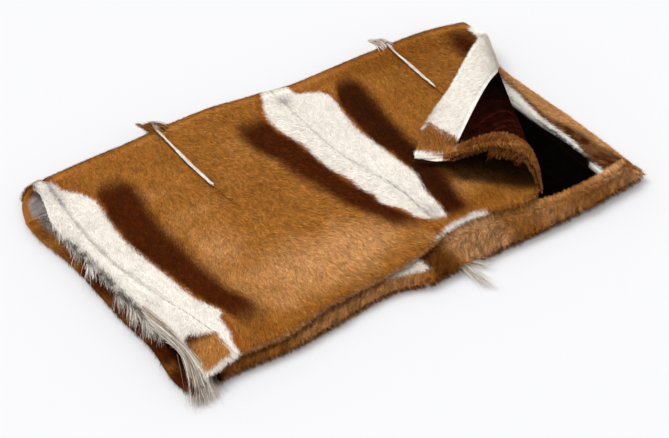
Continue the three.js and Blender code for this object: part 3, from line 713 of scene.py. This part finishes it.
def hide(name, width, step, material):
    panel = PANELS[name]
    part, share = row_table(panel, step)
    across = spaced(width, step)
    x, y = panel.place(across[None, :], (part[:, None], share[:, None]))
    outer_offset, inner_offset = fur_offsets(panel, x, y)
    _, _, normal = directions(panel.lay, x, y, panel.forward)
    middle = panel.lay(x, y)
    outer = middle + normal * outer_offset[..., None]
    inner = middle + normal * inner_offset[..., None]
    outer_paint, inner_paint = COLOURS[panel.layer]
    outer_colour = outer_paint(x, y) * UNDERCOAT_SHADE
    inner_colour = inner_paint(x, y) * UNDERCOAT_SHADE
    points, faces, colours = closed_grid(outer, inner, outer_colour, inner_colour)
    piece = add_mesh(name + "_hide", points, faces, colours, material)
    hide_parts(name)
    return piece


# Short fur


def unit(vectors):
    return vectors / np.maximum(np.linalg.norm(vectors, axis=-1, keepdims=True), 1e-9)


def on_skin(skin, side, x, y):
    """Point, outward direction and the two directions of the cloth, on one side of a skin."""
    panel = PANELS[skin]
    along_x, along_y, normal = directions(panel.lay, x, y, panel.forward)
    outer, inner = fur_offsets(panel, x, y)
    offset, facing = (outer, normal) if side == "outer" else (inner, -normal)
    return panel.lay(x, y) + normal * offset[:, None], facing, unit(along_x), unit(along_y)


def flow(x, y):
    """Lie of the hair on the outer side: away from the spines and down to the front."""
    crest = np.where(x < middle_seam(y), CREST_ONE(y), CREST_TWO(y))
    sideways = np.tanh((x - crest) / 120) * 0.5 + noise(x, y, 80, 41) * 0.4
    near_seam = np.maximum(bell(x - left_seam(y), 18), bell(x - middle_seam(y), 18))
    return sideways * (1 - 0.8 * near_seam), -1 + 0 * y


def shades(rng, colours):
    """Brightness of single hairs, strong in brown fur and slight in white fur."""
    light = smooth(colours.mean(axis=1), 0.3, 0.75)
    spread = mix(0.5, 0.09, light)
    return (1 + rng.uniform(-1, 1, len(colours)) * spread)[:, None], mix(0.66, 0.9, light)[:, None]


def blades(name, roots, facing, lie, lengths, widths, rise, colours, seed):
    """Short hairs as narrow triangles, darker at the root."""
    rng = np.random.default_rng(seed)
    count = len(roots)
    side = np.cross(facing, lie) + facing * rng.uniform(-0.5, 0.5, (count, 1))
    half = (widths / 2)[:, None] * unit(side)
    tips = roots + lengths[:, None] * (lie * np.cos(rise)[:, None] + facing * np.sin(rise)[:, None] * 0.8)
    points = np.concatenate([roots - half, roots + half, tips])
    points[:, 2] = np.maximum(points[:, 2], SHORT_HAIR_FLOOR)
    index = np.arange(count)
    faces = np.stack([index, index + count, index + 2 * count], 1)
    shade, root = shades(rng, colours)
    ends = np.concatenate([colours * shade * root] * 2 + [colours * shade * 1.1])
    return add_mesh(name, points, faces, ends, fur, False)


def everywhere(panel, rng, count):
    part = (rng.uniform(0, 1, count) < FOLD_SHARE).astype(float)
    share = rng.uniform(0, 1, count) * np.where(part == 1, 0.85, 1)
    return panel.place(rng.uniform(0, 1, count), (part if panel.top else 0 * part, share))


def coat(skin, name, side, count, length, width, seed, where=everywhere, lie=flow, rise=(0.1, 0.42),
         grain=1, bold=0.36, slant=0):
    """Short fur on one side of a skin."""
    rng = np.random.default_rng(seed)
    panel = PANELS[skin]
    x, y = where(panel, rng, count)
    if side == "inner":
        hem = panel.depth(x, y) > 0.6 * panel.depth(panel.right(y) - 1 if panel.top else x, panel.front(x))
        x, y = x[hem], y[hem]
    count = len(x)
    points, facing, across, along = on_skin(skin, side, x, y)
    sideways, forward = lie(x, y)
    sideways = sideways + rng.normal(0, 0.2, count)
    direction = unit(across * sideways[:, None] + along * forward[:, None])
    colouring = COLOURS[panel.layer][0 if side == "outer" else 1]
    colours = colouring(*(np.stack([x, y]) + rng.normal(0, COLOUR_STRAY, (2, count))))
    clump = noise((x - slant * y) / grain, y * 0.3 / grain, 2.2, seed + 7) * bold
    clump = clump + noise(x, y * 0.35, 7, seed + 8) * 0.1
    light = smooth(colours.mean(axis=1), 0.3, 0.75)
    colours = colours * (1 + clump * mix(1, 0.25, light))[:, None]
    lengths = length * rng.uniform(0.6, 1.2, count)
    rises = rng.uniform(rise[0], rise[1], count)
    if panel.top and side == "outer":
        rises = rises * (1 - 0.8 * smooth(y - fold_line(x), -14, 2))
    widths = width * rng.uniform(0.7, 1.3, count)
    roots = points - facing * ROOT_DEPTH
    return blades(name, roots, facing, direction, lengths, widths, rises, colours, seed + 1)


# Materials


def fill(node, values):
    for name, value in values.items():
        node.inputs[name].default_value = value


def start_material(name, roughness, specular):
    material = bpy.data.materials.new(name)
    material.use_nodes = True
    nodes, links = material.node_tree.nodes, material.node_tree.links
    shader = nodes["Principled BSDF"]
    fill(shader, {"Roughness": roughness, "Specular IOR Level": specular})
    colour = nodes.new("ShaderNodeAttribute")
    colour.attribute_name = "Coat"
    place = nodes.new("ShaderNodeTexCoord")
    return material, nodes, links, shader, colour, place


def grain(nodes, links, place, scale, stretch):
    """Fine noise drawn out along the hair."""
    size = nodes.new("ShaderNodeMapping")
    fill(size, {"Scale": stretch})
    links.new(place.outputs["Object"], size.inputs["Vector"])
    texture = nodes.new("ShaderNodeTexNoise")
    fill(texture, {"Scale": scale, "Detail": 3})
    links.new(size.outputs["Vector"], texture.inputs["Vector"])
    return texture.outputs["Fac"]


def scaled(nodes, links, colour, level, low, high):
    """A colour made darker and lighter by a noise."""
    span = nodes.new("ShaderNodeMapRange")
    fill(span, {"From Min": 0.3, "From Max": 0.7, "To Min": low, "To Max": high})
    links.new(level, span.inputs["Value"])
    blend = nodes.new("ShaderNodeVectorMath")
    blend.operation = "SCALE"
    links.new(colour, blend.inputs[0])
    links.new(span.outputs["Result"], blend.inputs["Scale"])
    return blend.outputs["Vector"]


def bumps(nodes, links, shader, level, strength, distance):
    bump = nodes.new("ShaderNodeBump")
    fill(bump, {"Strength": strength, "Distance": distance})
    links.new(level, bump.inputs["Height"])
    links.new(bump.outputs["Normal"], shader.inputs["Normal"])


def coat_material(name):
    """Close undercoat with fine streaks."""
    material, nodes, links, shader, colour, place = start_material(name, 0.9, 0.02)
    level = grain(nodes, links, place, 1, (420, 90, 420))
    links.new(scaled(nodes, links, colour.outputs["Color"], level, 0.8, 1.2), shader.inputs["Base Color"])
    bumps(nodes, links, shader, level, 0.5, 0.001)
    return material


def hair_material(name):
    """Single hairs with slight changes of tone."""
    material, nodes, links, shader, colour, place = start_material(name, 0.7, 0.03)
    level = grain(nodes, links, place, 260, (1, 0.5, 1))
    links.new(scaled(nodes, links, colour.outputs["Color"], level, 0.92, 1.08), shader.inputs["Base Color"])
    return material


def lining_material(name):
    """Near-black brown brushed cloth with a faint warm sheen; the brighter bloom at its folds is painted
    highlight in its colours.
    """
    material, nodes, links, shader, colour, place = start_material(name, 0.95, 0.0)
    fill(shader, {"Sheen Weight": 0.02, "Sheen Roughness": 0.3, "Sheen Tint": (0.45, 0.1, 0.05, 1)})
    level = grain(nodes, links, place, 60, (1, 1, 1))
    links.new(scaled(nodes, links, colour.outputs["Color"], level, 0.5, 1.5), shader.inputs["Base Color"])
    bumps(nodes, links, shader, grain(nodes, links, place, 900, (1, 1, 1)), 0.3, 0.0005)
    return material


# Lining

LINING_BLACK = linear(4, 2, 2)
LINING_RED = linear(84, 30, 18)
# Soft folds of the lining over the turned corner: place along it, bow, half width, height, reach across
CREASES = [
    (317, 0.14, 3, 0.9, 120), (356, 0.20, 2.5, 2.4, 170), (372, 0.26, 3, 1.2, 120),
    (384, 0.24, 4, 2.0, 150), (398, 0.28, 2.5, 2.4, 190), (411, 0.30, 4, 1.5, 160),
    (428, 0.26, 3, 2.2, 200),
]


def lining_creases(x, y):
    """Height of the lining's folds where the corner turns, and a painted highlight along their ridges."""
    along, out, sizes = crease_frame(x, y)
    travel = out + sizes[0]
    rise, crease_highlight = 0 * x, 0 * x
    wander = noise(along, travel, 60, 61) * 5 + noise(along, travel, 24, 62) * 1.2
    for start, bow, width, height, reach in CREASES:
        away = along + wander - start - bow * (travel - 55) ** 2 / 60
        near = smooth(travel, 8, 40) * fade(travel, reach - 40, reach)
        rise = rise + height * bell(away, width) * near
        crease_highlight = crease_highlight + height / 2.6 * bell(away - width * 0.8, width * 0.6) * near
    return rise, np.clip(crease_highlight, 0, 1)


def lining_rows(part, shares):
    """Rows of the lining: top layer, fold, under-run and bottom layer."""
    first = lambda y: middle_left(y) + 2 * SEAM_ROUNDING
    last = lambda y: top_right(y) - RIGHT_HEM_WIDTH - LINING_INSET
    low = lambda y: bottom_left(y) + LEFT_HEM_WIDTH + BOTTOM_INSET
    high = lambda y: bottom_right(y) - right_hem(y) - BOTTOM_INSET
    share, across = shares[:, None], np.linspace(0, 1, 120)[None, :]
    x = np.zeros((share.size, across.size))
    for _ in range(4):
        fold = fold_line(x)
        if part == "top":
            y = mix(top_front(x) + top_hem(x) + LINING_INSET, fold, share)
        elif part == "fold":
            y = fold + FOLD_ARC * share
        elif part == "under":
            y = mix(fold + FOLD_ARC, top_back(x), share)
        else:
            y = mix(UNDER_SEAM_Y, bottom_front(x) + bottom_hem(x) + BOTTOM_INSET, share)
        x = mix(low(y), high(y), across) if part == "bottom" else mix(first(y), last(y), across)
    return x, y


def lining(material):
    blocks = []
    parts = (("top", np.linspace(0, 1, 110)[:-1]), ("fold", np.linspace(0, 1, 13)[:-1]),
             ("under", np.linspace(0, 0.95, 6)), ("bottom", np.linspace(0.05, 1, 40)))
    for part, shares in parts:
        x, y = lining_rows(part, shares)
        lay, forward = (lay_bottom, -1) if part == "bottom" else (lay_top, 1)
        _, _, normal = directions(lay, x, y, forward)
        bulge, crease_highlight = lining_creases(x, y) if part == "top" else (0 * x, 0 * x)
        warm = smooth(crease_frame(x, y)[0], 240, 420) * (part == "top")
        rim = np.ones_like(x)
        rim[:, 0] = rim[:, -1] = 0
        if part == "top":
            rim[0] = 0
        if part == "bottom":
            rim[-1] = 0
            bulge = np.abs(noise(x, y, 70, 51)) * 1.5
        middle_depth = (LINING_NEAR + LINING_FAR) / 2
        near = mix(middle_depth, LINING_NEAR, rim)
        far = mix(middle_depth, LINING_FAR + bulge, rim)
        # Painted highlight in warm red on the fold ridges of the near-black cloth
        colour = paint(np.broadcast_to(LINING_BLACK, x.shape + (3,)), LINING_RED, crease_highlight * 0.42 + warm * 0.1)
        middle = lay(x, y)
        blocks.append((middle - normal * near[..., None], middle - normal * far[..., None], colour))
    outer, inner, colour = (np.concatenate(group) for group in zip(*blocks))
    points, faces, colours = closed_grid(outer, inner, colour, colour)
    piece = add_mesh("lining_cloth_sheet", points, faces, colours, material)
    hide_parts("lining")
    return piece


# Long hair

# Colours of single hairs
SILVER = [linear(184, 168, 150), linear(214, 204, 192), linear(246, 242, 236), linear(142, 122, 102)]
WHITES = [linear(250, 246, 240), linear(240, 234, 226), linear(222, 212, 202)]
RUSTS = [linear(150, 92, 44), linear(110, 62, 26), linear(186, 130, 74)]
BROWNS = [linear(120, 70, 26), linear(84, 42, 12), linear(158, 104, 50)]


def ribbons(name, starts, middles, tips, width, colours, seed, steps=3):
    """Long fine hairs, each a tapering ribbon along a bent path."""
    rng = np.random.default_rng(seed)
    count = len(starts)
    share = np.linspace(0, 1, steps + 1)[:, None, None]
    path = (1 - share) ** 2 * starts + 2 * share * (1 - share) * middles + share**2 * tips
    path[..., 2] = np.maximum(path[..., 2], LONG_HAIR_FLOOR)
    side = unit(np.cross(np.gradient(path, axis=0), rng.normal(0, 1, (count, 3)) + np.array([0, 0, 0.5])))
    half = width * rng.uniform(0.6, 1.3, (1, count, 1)) / 2 * np.sqrt(1 - 0.92 * share)
    points = np.stack([path - side * half, path + side * half], 2).transpose(1, 0, 2, 3).reshape(-1, 3)
    a = (np.arange(count) * (steps + 1) * 2)[:, None] + np.arange(steps)[None, :] * 2
    faces = np.stack([a, a + 1, a + 3, a + 2], -1).reshape(-1, 4)
    tone = np.repeat(colours * rng.uniform(0.75, 1.12, (count, 1)), (steps + 1) * 2, axis=0)
    return add_mesh(name, points, faces, tone, fur, True)


def pick(rng, palette, count):
    return np.array(palette)[rng.integers(0, len(palette), count)]


def fewer(count):
    return count


def tresses(name, skin, side, x, y, lie, lengths, width, rise, droop, colours, seed, loose=0.16, lift=-0.6):
    """Long hairs rooted on a skin, leaning along it and drooping to their tips."""
    rng = np.random.default_rng(seed)
    points, facing, across, along = on_skin(skin, side, x, y)
    sideways = lie[0] + rng.normal(0, loose, len(x))
    direction = unit(across * sideways[:, None] + along * (lie[1] + 0 * x)[:, None])
    rises = rise * rng.uniform(0.5, 1.4, (len(x), 1))
    reach = lengths[:, None] * rng.uniform(0.7, 1.2, (len(x), 1))
    starts = points + facing * lift
    middles = starts + reach * 0.5 * (direction * np.cos(rises) + facing * np.sin(rises))
    tips = starts + reach * (direction + facing * np.sin(rises) * 0.6 + np.array([0, 0, -droop]))
    return ribbons(name, starts, middles, tips, width, colours, seed + 1)


def lock(name, node, groups, width, palette, seed):
    """A lock of hair: groups of hairs, each from its roots over a bend to its tips."""
    rng = np.random.default_rng(seed)
    rows = []
    for path, spreads, count in groups:
        spread = rng.normal(0, 1, (fewer(count), 3))
        loose = spread * 0.7 + rng.normal(0, 0.6, spread.shape)
        rows.append([np.array(place) + lean * np.array(size)
                     for place, size, lean in zip(path, spreads, (spread, spread, loose))])
    starts, middles, tips = (np.concatenate(group) for group in zip(*rows))
    colours = pick(rng, palette, len(starts))
    piece = ribbons(name, starts, middles, tips, width, colours, seed + 1, steps=5)
    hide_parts(node)
    return piece


def crest(name, skin, line, low, high, count, seed):
    """Close white hairs that lie along a spine, widest near their lower end."""
    rng = np.random.default_rng(seed)
    count = fewer(count)
    y = rng.uniform(low + 10, high, count)
    half = 1.1 + 2.2 * smooth(high - y, 40, 120) * smooth(y, low - 10, low + 50)
    x = line(y) + rng.uniform(-1, 1, count) * half
    lengths = np.minimum(rng.uniform(16, 36, count), (y - low + 8) * rng.uniform(0.45, 1.1, count))
    lean = (line(y - 20) - line(y)) / 20
    return tresses(name, skin, "outer", x, y, (lean, -1.0), lengths, 1.1, 0.13, 0.0,
                   pick(rng, WHITES, count), seed + 1, 0.03, 2.2)


def crest_side(name, skin, line, low, high, count, seed):
    """Dark brown hairs that part beside a spine, partly the coat's own colour and partly a painted shadow
    beside the white streak.
    """
    rng = np.random.default_rng(seed)
    count = fewer(count)
    y = rng.uniform(low, high, count)
    x = line(y) - 4.2 + rng.normal(0, 0.7, count)
    return tresses(name, skin, "outer", x, y, (0.02, -1.0), rng.uniform(8, 16, count), 0.9, 0.12, 0.0,
                   pick(rng, BROWNS[:2], count), seed + 1, 0.05, 1.6)


def side_tufts(name, seed):
    """Tufts of pale hair that stick out between the layers at the left end."""
    rng = np.random.default_rng(seed)
    # Each tuft: place along the left edge, number of hairs and their length
    rows = [(238, 130, 18), (210, 130, 22), (180, 130, 26), (150, 130, 30), (122, 150, 38), (66, 170, 44),
            (12, 70, 26), (-34, 150, 44), (-78, 190, 48), (-120, 210, 50), (-158, 90, 36)]
    y = np.concatenate([rng.normal(at, 7, fewer(count)) for at, count, _ in rows])
    reach = np.concatenate([np.full(fewer(count), length) for _, count, length in rows])
    count = len(y)
    reach = reach * rng.uniform(0.5, 1.15, count)
    starts = np.stack([top_left(y) + rng.uniform(2, 14, count), y, rng.uniform(21.5, 25, count)], 1)
    lean = np.stack([-0.3 + rng.normal(0, 0.2, count), -0.95 + rng.normal(0, 0.15, count), 0.1 + 0 * y], 1)
    middles = starts + lean * (reach * 0.6)[:, None]
    tips = starts + lean * reach[:, None]
    off_edge = smooth(bottom_left(tips[:, 1]) + 6 - tips[:, 0], 0, 14)
    tips[:, 2] = mix(rng.uniform(20.5, 24, count), rng.uniform(4, 18, count), off_edge)
    colours = pick(rng, SILVER + WHITES[:1], count)
    return ribbons(name, starts, middles, tips, 0.8, colours, seed + 1, 4)


# Light, ground and camera, in metres

GROUND_HALF = 12.0
GROUND_COLOUR = (0.642, 0.642, 0.654, 1)
SKY_COLOUR = (1.0, 1.0, 1.0, 1)
SKY_STRENGTH = 1.02
KEY_ENERGY = 1.75
KEY_ANGLE = math.radians(36)
KEY_PLACE = (-0.8, 1.3, 2.6)
LENS = 80.72
SENSOR_WIDTH = 36
EYE_PLACE = (-1.24337, -1.93408, 1.99104)
EYE_TARGET = (-0.038945, -0.059162, 0)


def ground():
    mesh = bpy.data.meshes.new("ground")
    half = GROUND_HALF
    corners = [(-half, -half, 0), (half, -half, 0), (half, half, 0), (-half, half, 0)]
    mesh.from_pydata(corners, [], [(0, 1, 2, 3)])
    material = bpy.data.materials.new("ground_white")
    material.use_nodes = True
    shader = material.node_tree.nodes["Principled BSDF"]
    fill(shader, {"Base Color": GROUND_COLOUR, "Roughness": 1, "Specular IOR Level": 0.0})
    mesh.materials.append(material)
    floor = bpy.data.objects.new("ground", mesh)
    bpy.context.scene.collection.objects.link(floor)


def aim(piece, place, target):
    piece.location = place
    piece.rotation_euler = (Vector(target) - Vector(place)).to_track_quat("-Z", "Y").to_euler()
    bpy.context.scene.collection.objects.link(piece)


def light():
    world = bpy.data.worlds.new("studio")
    world.use_nodes = True
    sky = world.node_tree.nodes["Background"]
    fill(sky, {"Color": SKY_COLOUR, "Strength": SKY_STRENGTH})
    bpy.context.scene.world = world
    key = bpy.data.lights.new("key", "SUN")
    key.energy = KEY_ENERGY
    key.angle = KEY_ANGLE
    aim(bpy.data.objects.new("key", key), KEY_PLACE, (0, 0, 0))
    bpy.context.scene.view_settings.view_transform = "Standard"


def camera():
    data = bpy.data.cameras.new("camera")
    data.lens = LENS
    data.sensor_width = SENSOR_WIDTH
    eye = bpy.data.objects.new("camera", data)
    shift = Vector(ORIGIN / 1000)
    aim(eye, Vector(EYE_PLACE) + shift, Vector(EYE_TARGET) + shift)
    bpy.context.scene.camera = eye


# The kaross

camera()
light()
ground()
hide_fur = coat_material("hide_coat")
fur = hair_material("fur_hair")
hides = {
    "skin_top_left": hide("skin_top_left", 40, 6, hide_fur),
    "skin_top_middle": hide("skin_top_middle", 550, 6, hide_fur),
    "skin_top_right": hide("skin_top_right", 525, 5, hide_fur),
    "skin_bottom_left": hide("skin_bottom_left", 540, 8, hide_fur),
    "skin_bottom_right": hide("skin_bottom_right", 545, 7, hide_fur),
}
cloth_piece = lining(lining_material("lining_cloth"))


def flap_hem(panel, rng, count):
    y = rng.uniform(-250, 330, count)
    return panel.right(y) - rng.uniform(0, RIGHT_HEM_WIDTH, count), y


def flap_front(panel, rng, count):
    x = rng.uniform(300, 620, count)
    return x, top_front(x) + rng.uniform(0, 1, count) * top_hem(x)


def right_band(panel, rng, count):
    x = rng.uniform(BOTTOM_SEAM_X + 1, 545, count)
    return x, bottom_front(x) + rng.uniform(0, 1, count) * bottom_hem(x)


def right_side(panel, rng, count):
    y = rng.uniform(-300, 240, count)
    return bottom_right(y) - rng.uniform(0, 1, count) * right_hem(y), y


def left_band(panel, rng, count):
    x = rng.uniform(-500, BOTTOM_SEAM_X - 1, count)
    return x, bottom_front(x) + rng.uniform(0, 44, count)


def left_side(panel, rng, count):
    y = rng.uniform(-318, 246, count)
    return bottom_left(y) + rng.uniform(0, 62, count), y


def flap_lie(x, y):
    tuft = fade(y - TUFT_EDGE(x), -8, 8)
    return mix(0.75, 0.4, tuft), mix(-0.5, 0.9, tuft)


def hem_lie(x, y):
    return -0.4 + noise(x, y, 30, 43) * 0.5, 1 + 0 * y


def band_lie(x, y):
    inside = (y - bottom_front(x)) / bottom_hem(x)
    up = smooth(inside, 0.7, 0.85)
    return mix(-0.55 - 0.5 * smooth(x, 200, 520) + noise(x, y, 40, 44) * 0.4, 0.1, up), mix(-1.0, 1.0, up)


def side_lie(x, y):
    return 0.35 + noise(x, y, 40, 45) * 0.3, -1 + 0 * y


UPRIGHT = (0.2, 0.6)
BAND_COAT = (band_lie, UPRIGHT, 1.6, 0.55, 0.8)
# Short fur of each skin: name, side, number of hairs, length, width and seed. Where it isn't the usual
# fur, these follow: place, lie, rise, grain, boldness and slant.
SHORT_FUR = {
    "skin_top_left": [("fur_top_left", "outer", 20000, 13, 1.0, 101)],
    "skin_top_middle": [("fur_top_middle", "outer", 168000, 11.5, 1.05, 103)],
    "skin_top_right": [
        ("fur_top_right", "outer", 146000, 11.5, 1.05, 105),
        ("fur_flap_hem", "inner", 42000, 12, 1.0, 121, flap_hem, flap_lie),
        ("fur_flap_front", "inner", 12000, 11, 1.0, 122, flap_front, hem_lie, UPRIGHT),
    ],
    "skin_bottom_left": [
        ("fur_bottom_left", "outer", 7000, 11, 1.2, 107),
        ("fur_left_band", "inner", 20000, 16, 1.4, 123, left_band, *BAND_COAT),
        ("fur_left_side", "inner", 20000, 12, 1.0, 124, left_side, side_lie, UPRIGHT),
    ],
    "skin_bottom_right": [
        ("fur_bottom_right", "outer", 7000, 11, 1.2, 109),
        ("fur_right_band", "inner", 43000, 20, 1.5, 125, right_band, *BAND_COAT),
        ("fur_right_side", "inner", 22000, 11, 1.0, 126, right_side, side_lie),
    ],
}
coats = {skin: [coat(skin, *row) for row in rows] for skin, rows in SHORT_FUR.items()}


def edge_fringe(skin, name, side, low, high, count, edge, depth, lie, length, palette, seed, rise=0.3,
                droop=0.25):
    """Longer hairs along a front edge, between two places along it."""
    x = np.random.default_rng(seed - 1).uniform(low, high, fewer(count))
    rng = np.random.default_rng(seed)
    y = edge(x) + rng.uniform(0, 1, len(x)) * (depth(x) if callable(depth) else depth)
    lengths = length * rng.uniform(0.6, 1.1, len(x))
    colours = pick(rng, palette, len(x))
    return tresses(name, skin, side, x, y, lie, lengths, 0.9, rise, droop, colours, seed + 1)


def fringes(skin, rows):
    """Adds fringes to a skin, each row from the name to the seed, rise and droop."""
    coats[skin] += [edge_fringe(skin, *row) for row in rows]


PINKS = [linear(170, 122, 84), linear(146, 96, 56), linear(186, 142, 106)]
coats["skin_top_middle"] += [
    crest("crest_left", "skin_top_middle", CREST_ONE, 122, 350, 760, 151),
    crest_side("crest_left_side", "skin_top_middle", CREST_ONE, 118, 345, 260, 153),
]
fringes("skin_top_middle", [
    ("fringe_middle", "outer", -395, 95, 2400, top_front, 4, (0.15, -1.0), 11, PINKS, 162),
])
fringes("skin_top_left", [
    ("fringe_left", "outer", -464, -402, 420, top_front, 5, (0.05, -1.0), 10, WHITES, 164),
])
coats["skin_top_right"] += [
    crest("crest_right", "skin_top_right", CREST_TWO, 150, 345, 700, 155),
    crest_side("crest_right_side", "skin_top_right", CREST_TWO, 148, 335, 220, 157),
]
fringes("skin_top_right", [
    ("fringe_right_white", "outer", 106, 205, 500, top_front, 5, (0.1, -1.0), 10, WHITES, 166),
    ("fringe_right", "outer", 205, 420, 1200, top_front, 6, (0.25, -1.0), 12, RUSTS, 168),
    ("flap_rim_hair", "inner", 330, 566, 3400, top_front, 6, (-0.45, -1.0), 11,
     RUSTS + BROWNS + [DARK * 2], 192, 0.25, 0.25),
    ("flap_rim", "outer", 380, 560, 2600, top_front, 9, (-0.7, -0.8), 12, RUSTS + BROWNS, 190, 0.5, 0.1),
    ("loop_spikes", "outer", 395, 475, 420, top_front, 14, (0.2, -1.0), 24, BROWNS, 170, 0.9, 0.1),
    ("flap_front_hair", "inner", 330, 560, 3000, lambda x: top_front(x) + 1, top_hem, (-0.35, 1.0), 12,
     RUSTS + BROWNS, 172, 0.5, 0.0),
])


def flap_fringe(seed):
    """White hair that spreads from the turned edge over the coat below it."""
    rng = np.random.default_rng(seed)
    count = fewer(3600)
    y = rng.uniform(-150, 170, count)
    x = top_right(y) - np.abs(rng.normal(0, 8, count))
    lengths = 6 + 14 * smooth(-y, -70, 90)
    return tresses("flap_fringe", "skin_top_right", "inner", x, y, (0.9, -0.4), lengths, 0.85, 0.35, 0.4,
                   pick(rng, WHITES, count), seed + 1)


def flap_tuft(seed):
    """Fan of brown hair near the tip of the turned corner."""
    rng = np.random.default_rng(seed)
    count = fewer(2600)
    x = rng.uniform(545, 616, count)
    y = mix(top_front(x) + 9, TUFT_EDGE(x) - 2, rng.uniform(0, 1, count) ** 0.8)
    lean = (x - 560) / 50
    colours = pick(rng, RUSTS + BROWNS[:1], count)
    return tresses("flap_tuft", "skin_top_right", "inner", x, y, (0.1 + 0.6 * lean, 0.9), 18 + 0 * x, 0.85,
                   0.4, 0.1, colours, seed + 1)


def tip_roll(seed):
    """White hair along the tip of the turned corner."""
    rng = np.random.default_rng(seed)
    count = fewer(700)
    x = rng.uniform(574, 616, count)
    y = top_front(x) + rng.uniform(0, 8, count)
    return tresses("tip_roll", "skin_top_right", "inner", x, y, (0.95, -0.1), 8 + 0 * x, 0.85, 0.15, 0.1,
                   pick(rng, WHITES, count), seed + 1)


coats["skin_top_right"] += [flap_fringe(181), flap_tuft(183), tip_roll(185)]
fringes("skin_bottom_right", [
    ("band_top_hair", "inner", 200, 556, 2600, lambda x: bottom_front(x) + bottom_hem(x) - 16, 16,
     (0.25, 1.0), 14, RUSTS + BROWNS, 174, 0.6, 0.0),
    ("band_low_hair", "outer", 10, 556, 2200, bottom_front, 5, (0.1, -1.0), 12, BROWNS, 176, 0.2, 0.35),
    ("corner_tuft", "inner", 528, 546, 500, bottom_front, 34, (0.4, 0.5), 14, RUSTS + BROWNS, 180, 0.6, 0.0),
])
fringes("skin_bottom_left", [
    ("left_low_hair", "outer", -505, 0, 1900, bottom_front, 5, (0.0, -1.0), 11, BROWNS + RUSTS, 178, 0.2,
     0.35),
])
coats["skin_bottom_left"].append(side_tufts("side_tufts", 187))

lock("lock_front_left_hair", "lock_front_left", [
    (((-491, -152, 38), (-474, -222, 47), (-477, -288, 32)), ((3, 20, 1.2), (5, 8, 2), (3, 11, 2)), 620),
    (((-477, -262, 38), (-478, -305, 34), (-488, -340, 3)), ((4, 12, 2), (8, 8, 3), (17, 10, 2)), 620),
], 0.8, SILVER, 141)
lock("lock_front_hair", "lock_front", [
    (((90, -304, 9), (93, -335, 13), (104, -378, 3)), ((4, 2, 2), (7, 6, 3), (9, 13, 1.5)), 170),
    (((96, -304, 10), (112, -322, 16), (132, -340, 8)), ((5, 2, 2), (8, 5, 3), (12, 10, 3)), 60),
], 0.6, WHITES + SILVER, 143)
lock("lock_back_left_hair", "lock_back_left", [
    (((-224, 334, 39), (-229, 349, 46), (-237, 358, 45)), ((10, 4, 1.2), (8, 5, 1.6), (6, 4, 2)), 1100),
    (((-238, 346, 42), (-246, 358, 47), (-255, 368, 48)), ((4, 3, 1.2), (3, 4, 1.5), (3, 3, 2)), 90),
], 0.8, RUSTS + BROWNS, 145)
lock("lock_back_right_hair", "lock_back_right", [
    (((347, 326, 39), (344, 341, 46), (338, 352, 45)), ((8, 4, 1.2), (6, 5, 1.6), (5, 4, 2)), 800),
    (((334, 342, 42), (328, 352, 47), (322, 360, 48)), ((3, 3, 1.2), (3, 4, 1.5), (3, 3, 2)), 90),
], 0.8, RUSTS + WHITES, 147)
